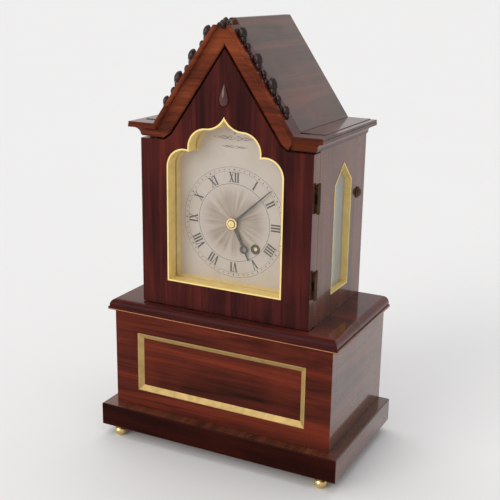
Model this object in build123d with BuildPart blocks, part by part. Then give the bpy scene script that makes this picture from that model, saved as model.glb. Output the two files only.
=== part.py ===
from build123d import *
import math
import os

# Gothic steeple-form mantel timepiece: rosewood case, silvered dial, single-fusee movement.
# Millimetres. +Z up, the front faces -Y, the origin is under the middle of the plinth on the table.

# ---------------------------------------------------------------- driving dimensions: case
PLINTH_HALF_W = 105.0
BACK_Y = 61.6
FOOT_H = 9.0
FOOT_R = 5.0
FOOT_X = 91.0
FOOT_Y = 55.4
PLINTH_TOP = 28.0

PEDESTAL_HALF_W = 95.5
PEDESTAL_FRONT = -52.1
PEDESTAL_TOP = 110.3
BOARD = 9.0
PANEL_HALF_W = 74.4
PANEL_BOTTOM = 43.0
PANEL_TOP = 92.8
PANEL_RECESS = 2.4
SLIP_W = 4.4

PLATE_HALF_W = 100.3
PLATE_FRONT = -55.8
PLATE_TOP = 119.0

CASE_HALF_W = 72.4
SIDE_T = 8.0
INNER_HALF_W = CASE_HALF_W - SIDE_T
DOOR_FRONT = -45.5
DOOR_BACK = -33.7
CASE_FRONT = -33.4
DIAL_FRONT = -28.0
DIAL_T = 1.5
CASE_TOP = 253.3
REAR_T = 6.0
REAR_FRONT = BACK_Y - REAR_T

CORNICE_HALF_W = 80.7
CORNICE_FRONT = -50.7
CORNICE_TOP = 264.6
TOP_BOARD_HALF_W = 75.2
TOP_BOARD_BOTTOM = 261.6
ROOF_BASE = 265.1
ROOF_SLOPE = 1.457
ROOF_APEX = 347.1
ROOF_T = 6.0
RIDGE_FLAT_Z = 343.6
RAKE_WIDTH = 12.4
RAKE_PROUD = 1.3
RAKE_STEP_Y = -39.5

OPEN_HALF_W = 49.4
OPEN_BOTTOM = 140.1
SHOULDER_Z = 231.5
SHOULDER_R = 15.1
LOBE_X = 31.0
LOBE_Z = 248.0
LOBE_R = 15.5
OGEE_TIP = 273.3

WINDOW_Y = (CASE_FRONT + BACK_Y) / 2
WINDOW_HALF_W = 17.5
WINDOW_SILL = 135.8
WINDOW_SPRING = 221.8
WINDOW_APEX = 237.4
WINDOW_REVEAL = 5.2

HINGE_X = 74.1
HINGE_Y = -38.9
HINGE_R = 1.6
HINGE_H = 20.6
HINGE_Z = (142.9, 208.8)
LEAF_T = 1.0

# ---------------------------------------------------------------- driving dimensions: movement
CENTRE = (0.0, 189.4)
WINDING = (18.9, 170.8)
BARREL = (-26.0, 163.0)
PLATE_F = (-9.0, -6.5)
PLATE_B = (33.5, 36.0)
MOVEMENT_HALF_W = 48.0
MOVEMENT_Z = (137.0, 249.0)
PILLARS = ((-42.0, 143.0), (42.0, 143.0), (-42.0, 243.0), (42.0, 243.0))
PILLAR_R = 3.5
ARBOR_R = 1.0
PIVOT_R = 0.6
FUSEE_ARBOR_R = 2.5
RUN = 0.05

GREAT_TEETH = 96
CENTRE_TEETH = 96
THIRD_TEETH = 91
PINION_LEAVES = 8
CANNON_TEETH = 12
MINUTE_TEETH = 36
MINUTE_LEAVES = 10
HOUR_TEETH = 40
ESCAPE_TEETH = 30
ESCAPE_R = 12.0

PENDULUM_Y = 42.0
BOB_R = 14.0
BOB_Z = 46.0

MINUTE_ANGLE = 48.0
HOUR_ANGLE = 154.0
MINUTE_HAND_L = 43.0
HOUR_HAND_L = 31.5
MINUTE_HAND_Y = (-31.4, -30.6)
HOUR_HAND_Y = (-30.1, -29.3)


def bar(x, y, z):
    """A box between two corners, given as (low, high) along each axis, in the part being built."""
    with Locations(((x[0] + x[1]) / 2, (y[0] + y[1]) / 2, (z[0] + z[1]) / 2)):
        Box(x[1] - x[0], y[1] - y[0], z[1] - z[0])


def cut(x, y, z):
    """The same box, taken away."""
    with Locations(((x[0] + x[1]) / 2, (y[0] + y[1]) / 2, (z[0] + z[1]) / 2)):
        Box(x[1] - x[0], y[1] - y[0], z[1] - z[0], mode=Mode.SUBTRACT)


def front_plane(y):
    """A sketch plane that looks along -Y, with X to the right and Z up, at depth y."""
    return Plane.XZ.offset(-y)


def rod(centre, radius, y, mode=Mode.ADD):
    """A round rod or hole along Y, at (x, z), between two depths."""
    with BuildSketch(front_plane(y[1])) as section:
        with Locations(centre):
            Circle(radius)
    extrude(section.sketch, amount=y[1] - y[0], mode=mode)


def roof_x(z, drop=0.0):
    """Half width of the roof at a height, for a line set in by drop, measured square to the slope."""
    return (ROOF_APEX - drop * math.hypot(1, ROOF_SLOPE) - z) / ROOF_SLOPE


def arch_sketch(grow=0.0):
    """The ogee-headed opening of door and mask, grown or shrunk all round."""
    with BuildSketch(mode=Mode.PRIVATE) as arch:
        with BuildLine():
            shoulder_x = OPEN_HALF_W - SHOULDER_R
            turn = math.acos((LOBE_X - shoulder_x) / SHOULDER_R)
            cusp_z = SHOULDER_Z + SHOULDER_R * math.sin(turn)
            rise = OGEE_TIP - LOBE_Z - LOBE_R
            lobe_x = LOBE_X - LOBE_R
            ogee_r = (lobe_x**2 + rise**2) / (2 * rise)
            tip_turn = math.asin(lobe_x / ogee_r)
            Line((0, OPEN_BOTTOM), (OPEN_HALF_W, OPEN_BOTTOM))
            Line((OPEN_HALF_W, OPEN_BOTTOM), (OPEN_HALF_W, SHOULDER_Z))
            CenterArc((shoulder_x, SHOULDER_Z), SHOULDER_R, 0, math.degrees(turn))
            Line((LOBE_X, cusp_z), (LOBE_X, LOBE_Z))
            CenterArc((lobe_x, LOBE_Z), LOBE_R, 0, 90)
            CenterArc((lobe_x, LOBE_Z + LOBE_R + ogee_r), ogee_r, 270, -math.degrees(tip_turn))
            mirror(about=Plane.YZ)
        make_face()
        if grow:
            offset(amount=grow, kind=Kind.ARC if grow > 0 else Kind.INTERSECTION)
    return arch.sketch


def lancet_sketch(grow=0.0):
    """The side window's outline, in (y, z): a flat sill and a straight pointed head."""
    low, high = WINDOW_Y - WINDOW_HALF_W, WINDOW_Y + WINDOW_HALF_W
    with BuildSketch(mode=Mode.PRIVATE) as lancet:
        with BuildLine():
            Polyline(
                (low, WINDOW_SILL),
                (high, WINDOW_SILL),
                (high, WINDOW_SPRING),
                (WINDOW_Y, WINDOW_APEX),
                (low, WINDOW_SPRING),
                close=True,
            )
        make_face()
        if grow:
            offset(amount=grow, kind=Kind.INTERSECTION)
    return lancet.sketch


pieces = {}

# ---------------------------------------------------------------- plinth and feet
with BuildPart() as plinth:
    bar((-PLINTH_HALF_W, PLINTH_HALF_W), (-BACK_Y, BACK_Y), (FOOT_H, PLINTH_TOP))
    rims = plinth.faces().sort_by(Axis.Z)[-1].edges().filter_by(lambda e: e.center().Y < BACK_Y - 1)
    chamfer(rims, length=0.7)
    cut((-24, 24), (30, 54), (PLINTH_TOP - 6, PLINTH_TOP))
pieces["plinth"] = plinth

with BuildPart() as feet:
    with BuildSketch(Plane.XZ):
        with BuildLine():
            Line((0, 0), (2.4, 0))
            ThreePointArc((2.4, 0), (FOOT_R, 3.9), (3.0, 7.4))
            Polyline((3.0, 7.4), (3.9, 7.9), (3.9, FOOT_H), (0, FOOT_H), (0, 0))
        make_face()
    foot = revolve(axis=Axis.Z, mode=Mode.PRIVATE)
    with Locations(*[(x, y) for x in (-FOOT_X, FOOT_X) for y in (-FOOT_Y, FOOT_Y)]):
        add(foot)
pieces["feet"] = feet

# ---------------------------------------------------------------- pedestal
PANEL_MID = (PANEL_BOTTOM + PANEL_TOP) / 2
PANEL_H = PANEL_TOP - PANEL_BOTTOM
SLIP_BACK = PEDESTAL_FRONT + PANEL_RECESS

with BuildPart() as pedestal_front:
    bar(
        (-PEDESTAL_HALF_W, PEDESTAL_HALF_W),
        (PEDESTAL_FRONT, PEDESTAL_FRONT + BOARD),
        (PLINTH_TOP, PEDESTAL_TOP),
    )
    cut((-PANEL_HALF_W, PANEL_HALF_W), (PEDESTAL_FRONT, PEDESTAL_FRONT + BOARD), (PANEL_BOTTOM, PANEL_TOP))
pieces["pedestal_front"] = pedestal_front

with BuildPart() as pedestal_panel:
    bar((-PANEL_HALF_W, PANEL_HALF_W), (SLIP_BACK, PEDESTAL_FRONT + BOARD), (PANEL_BOTTOM, PANEL_TOP))
pieces["pedestal_panel"] = pedestal_panel

with BuildPart() as pedestal_slip:
    bar((-PANEL_HALF_W, PANEL_HALF_W), (PEDESTAL_FRONT - 0.25, SLIP_BACK), (PANEL_BOTTOM, PANEL_TOP))
    for depth, inset in ((SLIP_BACK, SLIP_W), (PEDESTAL_FRONT - 0.25, 0.5)):
        with BuildSketch(front_plane(depth)):
            with Locations((0, PANEL_MID)):
                Rectangle(2 * (PANEL_HALF_W - inset), PANEL_H - 2 * inset)
    loft(mode=Mode.SUBTRACT)
pieces["pedestal_slip"] = pedestal_slip

with BuildPart() as pedestal_sides:
    for sign in (-1, 1):
        outer, inner = sign * PEDESTAL_HALF_W, sign * (PEDESTAL_HALF_W - BOARD)
        bar(sorted((outer, inner)), (PEDESTAL_FRONT + BOARD, BACK_Y), (PLINTH_TOP, PEDESTAL_TOP))
pieces["pedestal_sides"] = pedestal_sides

with BuildPart() as pedestal_back:
    pedestal_inner = PEDESTAL_HALF_W - BOARD
    bar((-pedestal_inner, pedestal_inner), (BACK_Y - BOARD, BACK_Y), (PLINTH_TOP, PEDESTAL_TOP))
pieces["pedestal_back"] = pedestal_back

PLATE_FILLET = 2.2
PLATE_STEP = 0.9
PLATE_ROUND = 5.2
with BuildPart() as pedestal_top:
    bar(
        (-PLATE_HALF_W + PLATE_STEP, PLATE_HALF_W - PLATE_STEP),
        (PLATE_FRONT + PLATE_STEP, BACK_Y),
        (PEDESTAL_TOP, PLATE_TOP),
    )
    rims = pedestal_top.faces().sort_by(Axis.Z)[-1].edges().filter_by(lambda e: e.center().Y < BACK_Y - 1)
    fillet(rims, radius=PLATE_ROUND)
    bar(
        (-PLATE_HALF_W, PLATE_HALF_W),
        (PLATE_FRONT, BACK_Y),
        (PEDESTAL_TOP, PEDESTAL_TOP + PLATE_FILLET),
    )
    cut((-20, 20), (35, 49), (PEDESTAL_TOP, PLATE_TOP))
pieces["pedestal_top"] = pedestal_top

# ---------------------------------------------------------------- upper case
LEAF_X = 60.4
with BuildPart() as case_sides:
    for sign in (-1, 1):
        bar(sorted((sign * CASE_HALF_W, sign * INNER_HALF_W)), (CASE_FRONT, BACK_Y), (PLATE_TOP, CASE_TOP))
    with BuildSketch(Plane.YZ):
        add(lancet_sketch())
    extrude(amount=CASE_HALF_W, both=True, mode=Mode.SUBTRACT)
    for z in HINGE_Z:
        cut((LEAF_X, CASE_HALF_W), (CASE_FRONT, CASE_FRONT + LEAF_T), (z, z + HINGE_H))
pieces["case_sides"] = case_sides

SLIP_OUT = CASE_HALF_W + 0.25
SLIP_IN = CASE_HALF_W - WINDOW_REVEAL
WINDOW_SLIP_T = 0.9
WINDOW_GLASS_T = 1.2
with BuildPart() as window_slips:
    with BuildSketch(Plane.YZ.offset(SLIP_IN)):
        add(lancet_sketch())
        add(lancet_sketch(-WINDOW_SLIP_T), mode=Mode.SUBTRACT)
    extrude(amount=SLIP_OUT - SLIP_IN)
    mirror(about=Plane.YZ)
pieces["window_slips"] = window_slips

with BuildPart() as window_glasses:
    with BuildSketch(Plane.YZ.offset(SLIP_IN - WINDOW_GLASS_T)):
        add(lancet_sketch())
    extrude(amount=WINDOW_GLASS_T)
    mirror(about=Plane.YZ)
pieces["window_glasses"] = window_glasses

with BuildPart() as front_frame:
    with BuildSketch(front_plane(DIAL_FRONT)):
        with BuildLine():
            gable_half_w = roof_x(ROOF_BASE, ROOF_T)
            Polyline(
                (0, PLATE_TOP),
                (INNER_HALF_W, PLATE_TOP),
                (INNER_HALF_W, CASE_TOP),
                (CASE_HALF_W, CASE_TOP),
                (CASE_HALF_W, TOP_BOARD_BOTTOM),
                (gable_half_w, TOP_BOARD_BOTTOM),
                (gable_half_w, ROOF_BASE),
                (0, ROOF_BASE + gable_half_w * ROOF_SLOPE),
            )
            mirror(about=Plane.YZ)
        make_face()
        add(arch_sketch(), mode=Mode.SUBTRACT)
    extrude(amount=DIAL_FRONT - CASE_FRONT)
    for z in HINGE_Z:
        cut((LEAF_X, INNER_HALF_W), (CASE_FRONT, CASE_FRONT + LEAF_T), (z, z + HINGE_H))
    cut((-INNER_HALF_W, -60.0), (CASE_FRONT, CASE_FRONT + 3.0), (182.0, 196.0))
pieces["front_frame"] = front_frame

with BuildPart() as dial_surround:
    with BuildSketch(front_plane(DIAL_FRONT)):
        add(arch_sketch())
        add(arch_sketch(-1.6), mode=Mode.SUBTRACT)
    extrude(amount=DIAL_FRONT - CASE_FRONT)
pieces["dial_surround"] = dial_surround

REAR_OPEN_HALF_W = 50.0
REAR_OPEN_Z = (130.0, 243.0)
REAR_PIVOT_X = -46.7
REAR_PIVOT_Y = BACK_Y - REAR_T / 2
REAR_PIN_R = 1.0
REAR_PIN_L = 5.6
with BuildPart() as rear_frame:
    bar((-INNER_HALF_W, INNER_HALF_W), (REAR_FRONT, BACK_Y), (PLATE_TOP, CASE_TOP))
    cut((-REAR_OPEN_HALF_W, REAR_OPEN_HALF_W), (REAR_FRONT, BACK_Y), REAR_OPEN_Z)
    for low, high in (
        (REAR_OPEN_Z[0], REAR_OPEN_Z[0] + REAR_PIN_L),
        (REAR_OPEN_Z[1] - REAR_PIN_L, REAR_OPEN_Z[1]),
    ):
        with Locations((REAR_PIVOT_X, REAR_PIVOT_Y, (low + high) / 2)):
            Cylinder(REAR_PIN_R, high - low)
pieces["rear_frame"] = rear_frame

SEAT_Y = (-18.0, 38.0)
SEAT_BOTTOM = 127.0
BOLT_Y = 13.5
BOLT_R = 1.5
with BuildPart() as seat_board:
    bar((-INNER_HALF_W, INNER_HALF_W), SEAT_Y, (SEAT_BOTTOM, MOVEMENT_Z[0]))
    for x, z in PILLARS[:2]:
        with Locations((x, BOLT_Y, (SEAT_BOTTOM + MOVEMENT_Z[0]) / 2)):
            Cylinder(BOLT_R, MOVEMENT_Z[0] - SEAT_BOTTOM, mode=Mode.SUBTRACT)
    for sign in (-1, 1):
        bar(sorted((sign * INNER_HALF_W, sign * 54.0)), SEAT_Y, (PLATE_TOP, SEAT_BOTTOM))
pieces["seat_board"] = seat_board

# ---------------------------------------------------------------- cornice and roof
CORNICE_FILLET_Z = 260.4
CAVETTO_R = 6.0


def cornice_profile(reach, inner, rebate):
    """One cornice moulding in (out, z): a cavetto under a fillet and a rounded lip, out as far as reach."""
    foot = reach - 1.0 - CAVETTO_R
    with BuildSketch(mode=Mode.PRIVATE) as profile:
        with BuildLine():
            Polyline((inner, CASE_TOP), (foot - 0.6, CASE_TOP), (foot - 0.6, CASE_TOP + 0.9))
            Line((foot - 0.6, CASE_TOP + 0.9), (foot, CASE_TOP + 0.9))
            Line((foot, CASE_TOP + 0.9), (foot, CORNICE_FILLET_Z - CAVETTO_R))
            CenterArc((foot + CAVETTO_R, CORNICE_FILLET_Z - CAVETTO_R), CAVETTO_R, 180, -90)
            Polyline(
                (foot + CAVETTO_R, CORNICE_FILLET_Z),
                (reach, CORNICE_FILLET_Z),
                (reach, CORNICE_TOP - 1.7),
                (reach - 0.5, CORNICE_TOP - 1.7),
                (reach - 0.5, CORNICE_TOP - 1.2),
                (reach - 0.1, CORNICE_TOP - 1.2),
                (reach - 0.1, CORNICE_TOP - 0.4),
                (reach - 0.5, CORNICE_TOP),
                (rebate, CORNICE_TOP),
            )
            if rebate > inner:
                Polyline(
                    (rebate, CORNICE_TOP),
                    (rebate, TOP_BOARD_BOTTOM),
                    (inner, TOP_BOARD_BOTTOM),
                    (inner, CASE_TOP),
                )
            else:
                Line((inner, CORNICE_TOP), (inner, CASE_TOP))
        make_face()
    return profile.sketch


with BuildPart() as side_cornices:
    with BuildSketch(front_plane(BACK_Y)):
        add(cornice_profile(CORNICE_HALF_W, CASE_HALF_W, TOP_BOARD_HALF_W))
    extrude(amount=BACK_Y - CASE_FRONT)
    mirror(about=Plane.YZ)
pieces["side_cornices"] = side_cornices

DIAL_NOTCH_HALF_W = 56.0
DIAL_NOTCH_Y = -23.5
with BuildPart() as top_board:
    bar((-CASE_HALF_W, CASE_HALF_W), (DIAL_FRONT, BACK_Y), (CASE_TOP, TOP_BOARD_BOTTOM))
    cut((-DIAL_NOTCH_HALF_W, DIAL_NOTCH_HALF_W), (DIAL_FRONT, DIAL_NOTCH_Y), (CASE_TOP, TOP_BOARD_BOTTOM))
    bar((-TOP_BOARD_HALF_W, TOP_BOARD_HALF_W), (CASE_FRONT, BACK_Y), (TOP_BOARD_BOTTOM, ROOF_BASE))
    cut((-gable_half_w, gable_half_w), (CASE_FRONT, DIAL_NOTCH_Y), (TOP_BOARD_BOTTOM, ROOF_BASE))
pieces["top_board"] = top_board

roof_half_w = roof_x(ROOF_BASE)
ridge_x = roof_x(RIDGE_FLAT_Z)
with BuildPart() as roof_boards:
    with BuildSketch(front_plane(BACK_Y)):
        with BuildLine():
            Polyline(
                (gable_half_w, ROOF_BASE),
                (roof_half_w, ROOF_BASE),
                (ridge_x, RIDGE_FLAT_Z),
                (0, RIDGE_FLAT_Z),
                (0, ROOF_BASE + gable_half_w * ROOF_SLOPE),
                close=True,
            )
        make_face()
    extrude(amount=BACK_Y - CASE_FRONT)
roof_left = roof_boards.part.mirror(Plane.YZ)
roof_boards.part = Compound(children=[roof_boards.part, roof_left])
pieces["roof_boards"] = roof_boards

with BuildPart() as rear_gable:
    with BuildSketch(front_plane(BACK_Y)):
        with BuildLine():
            Polyline(
                (-gable_half_w, ROOF_BASE),
                (gable_half_w, ROOF_BASE),
                (0, ROOF_BASE + gable_half_w * ROOF_SLOPE),
                close=True,
            )
        make_face()
    extrude(amount=REAR_T)
pieces["rear_gable"] = rear_gable

# ---------------------------------------------------------------- pediment: two rakes and their returns
RAKE_UP = (-1 / math.hypot(1, ROOF_SLOPE), ROOF_SLOPE / math.hypot(1, ROOF_SLOPE))
RAKE_BASE = (roof_half_w, ROOF_BASE)
RAKE_TIP_CUT = 339.0
RAKE_FLAT_Y = DOOR_FRONT - 0.8
RAKE_BACK = DOOR_BACK + 0.3
FOOT_CHAMFER = ((46.4, 257.6), (52.6, CASE_TOP))
# The rake and its level return meet on a mitre that halves the angle between them.
MITRE = Plane(
    origin=(roof_x(CORNICE_TOP, -RAKE_PROUD), 0, CORNICE_TOP),
    z_dir=(RAKE_UP[0] - 1, 0, RAKE_UP[1]),
)

with BuildPart() as rake_right:
    rake_plane = Plane(
        origin=(RAKE_BASE[0], 0, RAKE_BASE[1]),
        x_dir=(-RAKE_UP[1], 0, RAKE_UP[0]),
        z_dir=(RAKE_UP[0], 0, RAKE_UP[1]),
    )
    depth_sign = 1 if rake_plane.y_dir.Y > 0 else -1
    with BuildSketch(rake_plane):
        with BuildLine():
            front, step, flat, back = [
                depth_sign * y for y in (CORNICE_FRONT, RAKE_STEP_Y, RAKE_FLAT_Y, RAKE_BACK)
            ]
            fillet_w, quirk, hollow = 1.6, 0.5, 3.6
            hollow_start = depth_sign * (RAKE_FLAT_Y - hollow)
            Polyline(
                (fillet_w, hollow_start),
                (fillet_w, front + depth_sign * 0.5),
                (fillet_w - 0.5, front),
                (-RAKE_PROUD + 0.4, front),
                (-RAKE_PROUD, front + depth_sign * 0.4),
                (-RAKE_PROUD, step),
                (0, step),
                (0, back),
                (RAKE_WIDTH, back),
                (RAKE_WIDTH, flat + depth_sign * 1.0),
                (RAKE_WIDTH - 1.0, flat),
                (fillet_w + quirk + hollow, flat),
            )
            hollow_mid = hollow * math.sqrt(0.5)
            ThreePointArc(
                (fillet_w + quirk + hollow, flat),
                (fillet_w + quirk + hollow - hollow_mid, hollow_start + depth_sign * hollow_mid),
                (fillet_w + quirk, hollow_start),
            )
            Line((fillet_w + quirk, hollow_start), (fillet_w, hollow_start))
        make_face()
    extrude(amount=120.0, both=True)
    split(bisect_by=Plane.YZ, keep=Keep.TOP)
    split(bisect_by=Plane.XY.offset(CASE_TOP), keep=Keep.TOP)
    split(bisect_by=Plane.XY.offset(RAKE_TIP_CUT), keep=Keep.BOTTOM)
    split(bisect_by=MITRE, keep=Keep.TOP)

with BuildPart() as kneeler_right:
    with BuildSketch(front_plane(RAKE_BACK)):
        add(cornice_profile(CORNICE_HALF_W, 45.0, 45.0))
    extrude(amount=RAKE_BACK - CORNICE_FRONT)
    with BuildSketch(Plane.YZ.offset(40.0)):
        add(cornice_profile(-CORNICE_FRONT, -RAKE_BACK, -RAKE_BACK).mirror(Plane.YZ))
    extrude(amount=60.0, mode=Mode.INTERSECT)
    split(bisect_by=MITRE, keep=Keep.BOTTOM)

with BuildPart() as pediment_right:
    add(rake_right.part)
    add(kneeler_right.part)
    with BuildSketch(front_plane(RAKE_BACK)):
        with BuildLine():
            Polyline(
                (43.0, 250.0),
                (43.0, FOOT_CHAMFER[0][1] + (FOOT_CHAMFER[0][0] - 43.0) * ROOF_SLOPE),
                FOOT_CHAMFER[0],
                FOOT_CHAMFER[1],
                (54.0, 250.0),
                close=True,
            )
        make_face()
    extrude(amount=RAKE_BACK - CORNICE_FRONT, mode=Mode.SUBTRACT)

with BuildPart() as pediment_moulding:
    add(pediment_right.part)
    add(pediment_right.part.mirror(Plane.YZ))
pieces["pediment_moulding"] = pediment_moulding

CROCKET_SIZES = (
    (331.0, 3.4),
    (322.8, 1.9),
    (313.2, 3.7),
    (304.5, 2.0),
    (296.3, 4.0),
    (287.5, 2.2),
    (279.3, 3.0),
)
CROCKET_Y = (-47.6, -42.0)
CROCKET_RISE = 1.5
CROCKET_LEAN = 0.5
with BuildPart() as crockets:
    with BuildSketch(front_plane(CROCKET_Y[1])):
        for z, size in CROCKET_SIZES:
            seat_x = roof_x(z, -RAKE_PROUD)
            low = (seat_x - RAKE_UP[0] * size, z - RAKE_UP[1] * size)
            high = (seat_x + RAKE_UP[0] * size, z + RAKE_UP[1] * size)
            bulge = (
                seat_x + size * (RAKE_UP[1] * CROCKET_RISE + RAKE_UP[0] * CROCKET_LEAN),
                z + size * (RAKE_UP[1] * CROCKET_LEAN - RAKE_UP[0] * CROCKET_RISE),
            )
            with BuildLine():
                ThreePointArc(low, bulge, high)
                Line(high, low)
            make_face()
    extrude(amount=CROCKET_Y[1] - CROCKET_Y[0])
    mirror(about=Plane.YZ)
pieces["crockets"] = crockets

FINIAL_TOP = 344.5
FINIAL_Y = -43.5
with BuildPart() as finial:
    with BuildSketch(Plane.XZ):
        with BuildLine():
            Polyline(
                (0.5, FINIAL_TOP),
                (0, FINIAL_TOP),
                (0, RAKE_TIP_CUT),
                (3.0, RAKE_TIP_CUT),
                (3.4, RAKE_TIP_CUT + 1.8),
            )
            ThreePointArc((3.4, RAKE_TIP_CUT + 1.8), (2.5, RAKE_TIP_CUT + 4.2), (0.5, FINIAL_TOP))
        make_face()
    bud = revolve(axis=Axis.Z, mode=Mode.PRIVATE)
    with Locations((0, FINIAL_Y, 0)):
        add(bud)
pieces["finial"] = finial

# ---------------------------------------------------------------- case brightwork
with BuildPart() as bolt_cap:
    with BuildSketch(Plane.XY):
        with BuildLine():
            Polyline((0.4, 3.3), (0, 3.3), (0, 0), (4.6, 0), (4.6, 0.8), (3.4, 1.2))
            ThreePointArc((3.4, 1.2), (2.6, 2.7), (0.4, 3.3))
        make_face()
    turned = revolve(axis=Axis.Y, mode=Mode.PRIVATE)
    add(turned.rotate(Axis.Z, -90).moved(Location((CASE_HALF_W, 45.9, 207.9))))
pieces["bolt_cap"] = bolt_cap

# ---------------------------------------------------------------- front door
DOOR_GAP = 1.3
DOOR_EDGE_IN = RAKE_WIDTH + 1.8
DOOR_SHOULDER = CASE_TOP - DOOR_GAP
DOOR_BOTTOM = PLATE_TOP + 0.6
DOOR_GLASS_T = 1.3
GLASS_FRONT = DOOR_BACK - 0.2 - DOOR_GLASS_T
LEAF_Y = (-45.0, HINGE_Y)

with BuildPart() as door_frame:
    with BuildSketch(front_plane(DOOR_BACK)):
        with BuildLine():
            Polyline(
                (0, DOOR_BOTTOM),
                (CASE_HALF_W, DOOR_BOTTOM),
                (CASE_HALF_W, DOOR_SHOULDER),
                (FOOT_CHAMFER[1][0] - 1.0, DOOR_SHOULDER),
                (roof_x(FOOT_CHAMFER[0][1] - 0.7, DOOR_EDGE_IN), FOOT_CHAMFER[0][1] - 0.7),
                (0, ROOF_APEX - DOOR_EDGE_IN * math.hypot(1, ROOF_SLOPE)),
            )
            mirror(about=Plane.YZ)
        make_face()
        add(arch_sketch(), mode=Mode.SUBTRACT)
    extrude(amount=DOOR_BACK - DOOR_FRONT)
    for z in HINGE_Z:
        cut((CASE_HALF_W - LEAF_T, CASE_HALF_W), LEAF_Y, (z, z + HINGE_H))
pieces["door_frame"] = door_frame

with BuildPart() as door_slip:
    with BuildSketch(front_plane(GLASS_FRONT)):
        add(arch_sketch())
        add(arch_sketch(-1.2), mode=Mode.SUBTRACT)
    extrude(amount=GLASS_FRONT - DOOR_FRONT + 0.2)
pieces["door_slip"] = door_slip

with BuildPart() as door_glass:
    with BuildSketch(front_plane(GLASS_FRONT + DOOR_GLASS_T)):
        add(arch_sketch())
    extrude(amount=DOOR_GLASS_T)
pieces["door_glass"] = door_glass

BOSS_Z = (280.4, 297.4)
BOSS_R = 4.1
with BuildPart() as door_boss:
    with BuildSketch(Plane.XZ):
        with BuildLine():
            Line((0, BOSS_Z[1]), (0, BOSS_Z[0]))
            ThreePointArc((0, BOSS_Z[0]), (BOSS_R * 0.76, BOSS_Z[0] + 1.5), (BOSS_R, BOSS_Z[0] + BOSS_R))
            ThreePointArc(
                (BOSS_R, BOSS_Z[0] + BOSS_R),
                (BOSS_R * 0.62, BOSS_Z[0] + BOSS_R + 5.4),
                (0, BOSS_Z[1]),
            )
        make_face()
    revolve(axis=Axis.Z)
    split(bisect_by=Plane.XZ, keep=Keep.TOP)
with BuildPart() as boss_placed:
    add(door_boss.part.moved(Location((0, DOOR_FRONT, 0))))
pieces["door_boss"] = boss_placed

KNUCKLE_GAP = 0.15
PIN_R = 0.7
KNUCKLE_H = HINGE_H / 3
with BuildPart() as door_hinge_leaves:
    for z in HINGE_Z:
        bar((CASE_HALF_W - LEAF_T, CASE_HALF_W), LEAF_Y, (z, z + HINGE_H))
        for low in (z, z + 2 * KNUCKLE_H):
            shift = 0.0 if low == z else KNUCKLE_GAP
            knuckle = (low + shift, low + shift + KNUCKLE_H - KNUCKLE_GAP)
            with Locations((HINGE_X, HINGE_Y, sum(knuckle) / 2)):
                Cylinder(HINGE_R, knuckle[1] - knuckle[0])
            bar((CASE_HALF_W, HINGE_X), (HINGE_Y - HINGE_R, HINGE_Y - 0.6), knuckle)
    for z in HINGE_Z:
        with Locations((HINGE_X, HINGE_Y, z + HINGE_H / 2)):
            Cylinder(PIN_R + RUN, HINGE_H, mode=Mode.SUBTRACT)
pieces["door_hinge_leaves"] = door_hinge_leaves

with BuildPart() as case_hinge_leaves:
    for z in HINGE_Z:
        middle = (z + KNUCKLE_H, z + 2 * KNUCKLE_H)
        bar((LEAF_X, CASE_HALF_W + LEAF_T - 0.2), (CASE_FRONT, CASE_FRONT + LEAF_T), (z, z + HINGE_H))
        bar((CASE_HALF_W, CASE_HALF_W + LEAF_T - 0.2), (HINGE_Y + 1.0, CASE_FRONT + LEAF_T), middle)
        with Locations((HINGE_X, HINGE_Y, z + HINGE_H / 2)):
            Cylinder(HINGE_R, KNUCKLE_H)
            Cylinder(PIN_R, HINGE_H)
        for end in (z - 0.5, z + HINGE_H + 0.5):
            with Locations((HINGE_X, HINGE_Y, end)):
                Cylinder(HINGE_R - 0.3, 0.8)
pieces["case_hinge_leaves"] = case_hinge_leaves

with BuildPart() as door_catch:
    bar((-64.0, -60.6), (DOOR_BACK, DOOR_BACK + 2.6), (184.0, 194.0))
pieces["door_catch"] = door_catch

# ---------------------------------------------------------------- rear door
REAR_DOOR_X = (REAR_PIVOT_X, 49.7)
REAR_DOOR_Z = (130.3, 242.7)
REAR_GLASS_X = (-37.0, 40.0)
REAR_GLASS_Z = (142.0, 231.0)
LATCH = (44.6, 186.5)
with BuildPart() as rear_door_frame:
    bar(REAR_DOOR_X, (REAR_FRONT, BACK_Y), REAR_DOOR_Z)
    with Locations((REAR_PIVOT_X, REAR_PIVOT_Y, sum(REAR_DOOR_Z) / 2)):
        Cylinder(REAR_T / 2, REAR_DOOR_Z[1] - REAR_DOOR_Z[0])
    cut(REAR_GLASS_X, (REAR_FRONT, BACK_Y), REAR_GLASS_Z)
    for z in (REAR_DOOR_Z[0] + 3.0, REAR_DOOR_Z[1] - 3.0):
        with Locations((REAR_PIVOT_X, REAR_PIVOT_Y, z)):
            Cylinder(REAR_PIN_R + RUN, 6.0, mode=Mode.SUBTRACT)
    rod(LATCH, 3.0 + RUN, (REAR_FRONT, BACK_Y), Mode.SUBTRACT)
pieces["rear_door_frame"] = rear_door_frame

with BuildPart() as rear_door_glass:
    bar(REAR_GLASS_X, (REAR_FRONT + 2.0, REAR_FRONT + 3.6), REAR_GLASS_Z)
pieces["rear_door_glass"] = rear_door_glass

with BuildPart() as rear_latch:
    rod(LATCH, 3.0, (REAR_FRONT, BACK_Y - 0.2))
    cut((LATCH[0] - 2.4, LATCH[0] + 2.4), (BACK_Y - 1.2, BACK_Y - 0.2), (LATCH[1] - 0.4, LATCH[1] + 0.4))
    bar(
        (LATCH[0] - 2.5, LATCH[0] + 2.5),
        (REAR_FRONT - 1.9, REAR_FRONT - 0.2),
        (LATCH[1] - 3.0, LATCH[1] + 10.0),
    )
    rod(LATCH, 2.0, (REAR_FRONT - 0.3, REAR_FRONT + 0.1))
pieces["rear_latch"] = rear_latch

# ---------------------------------------------------------------- wheelwork


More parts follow.
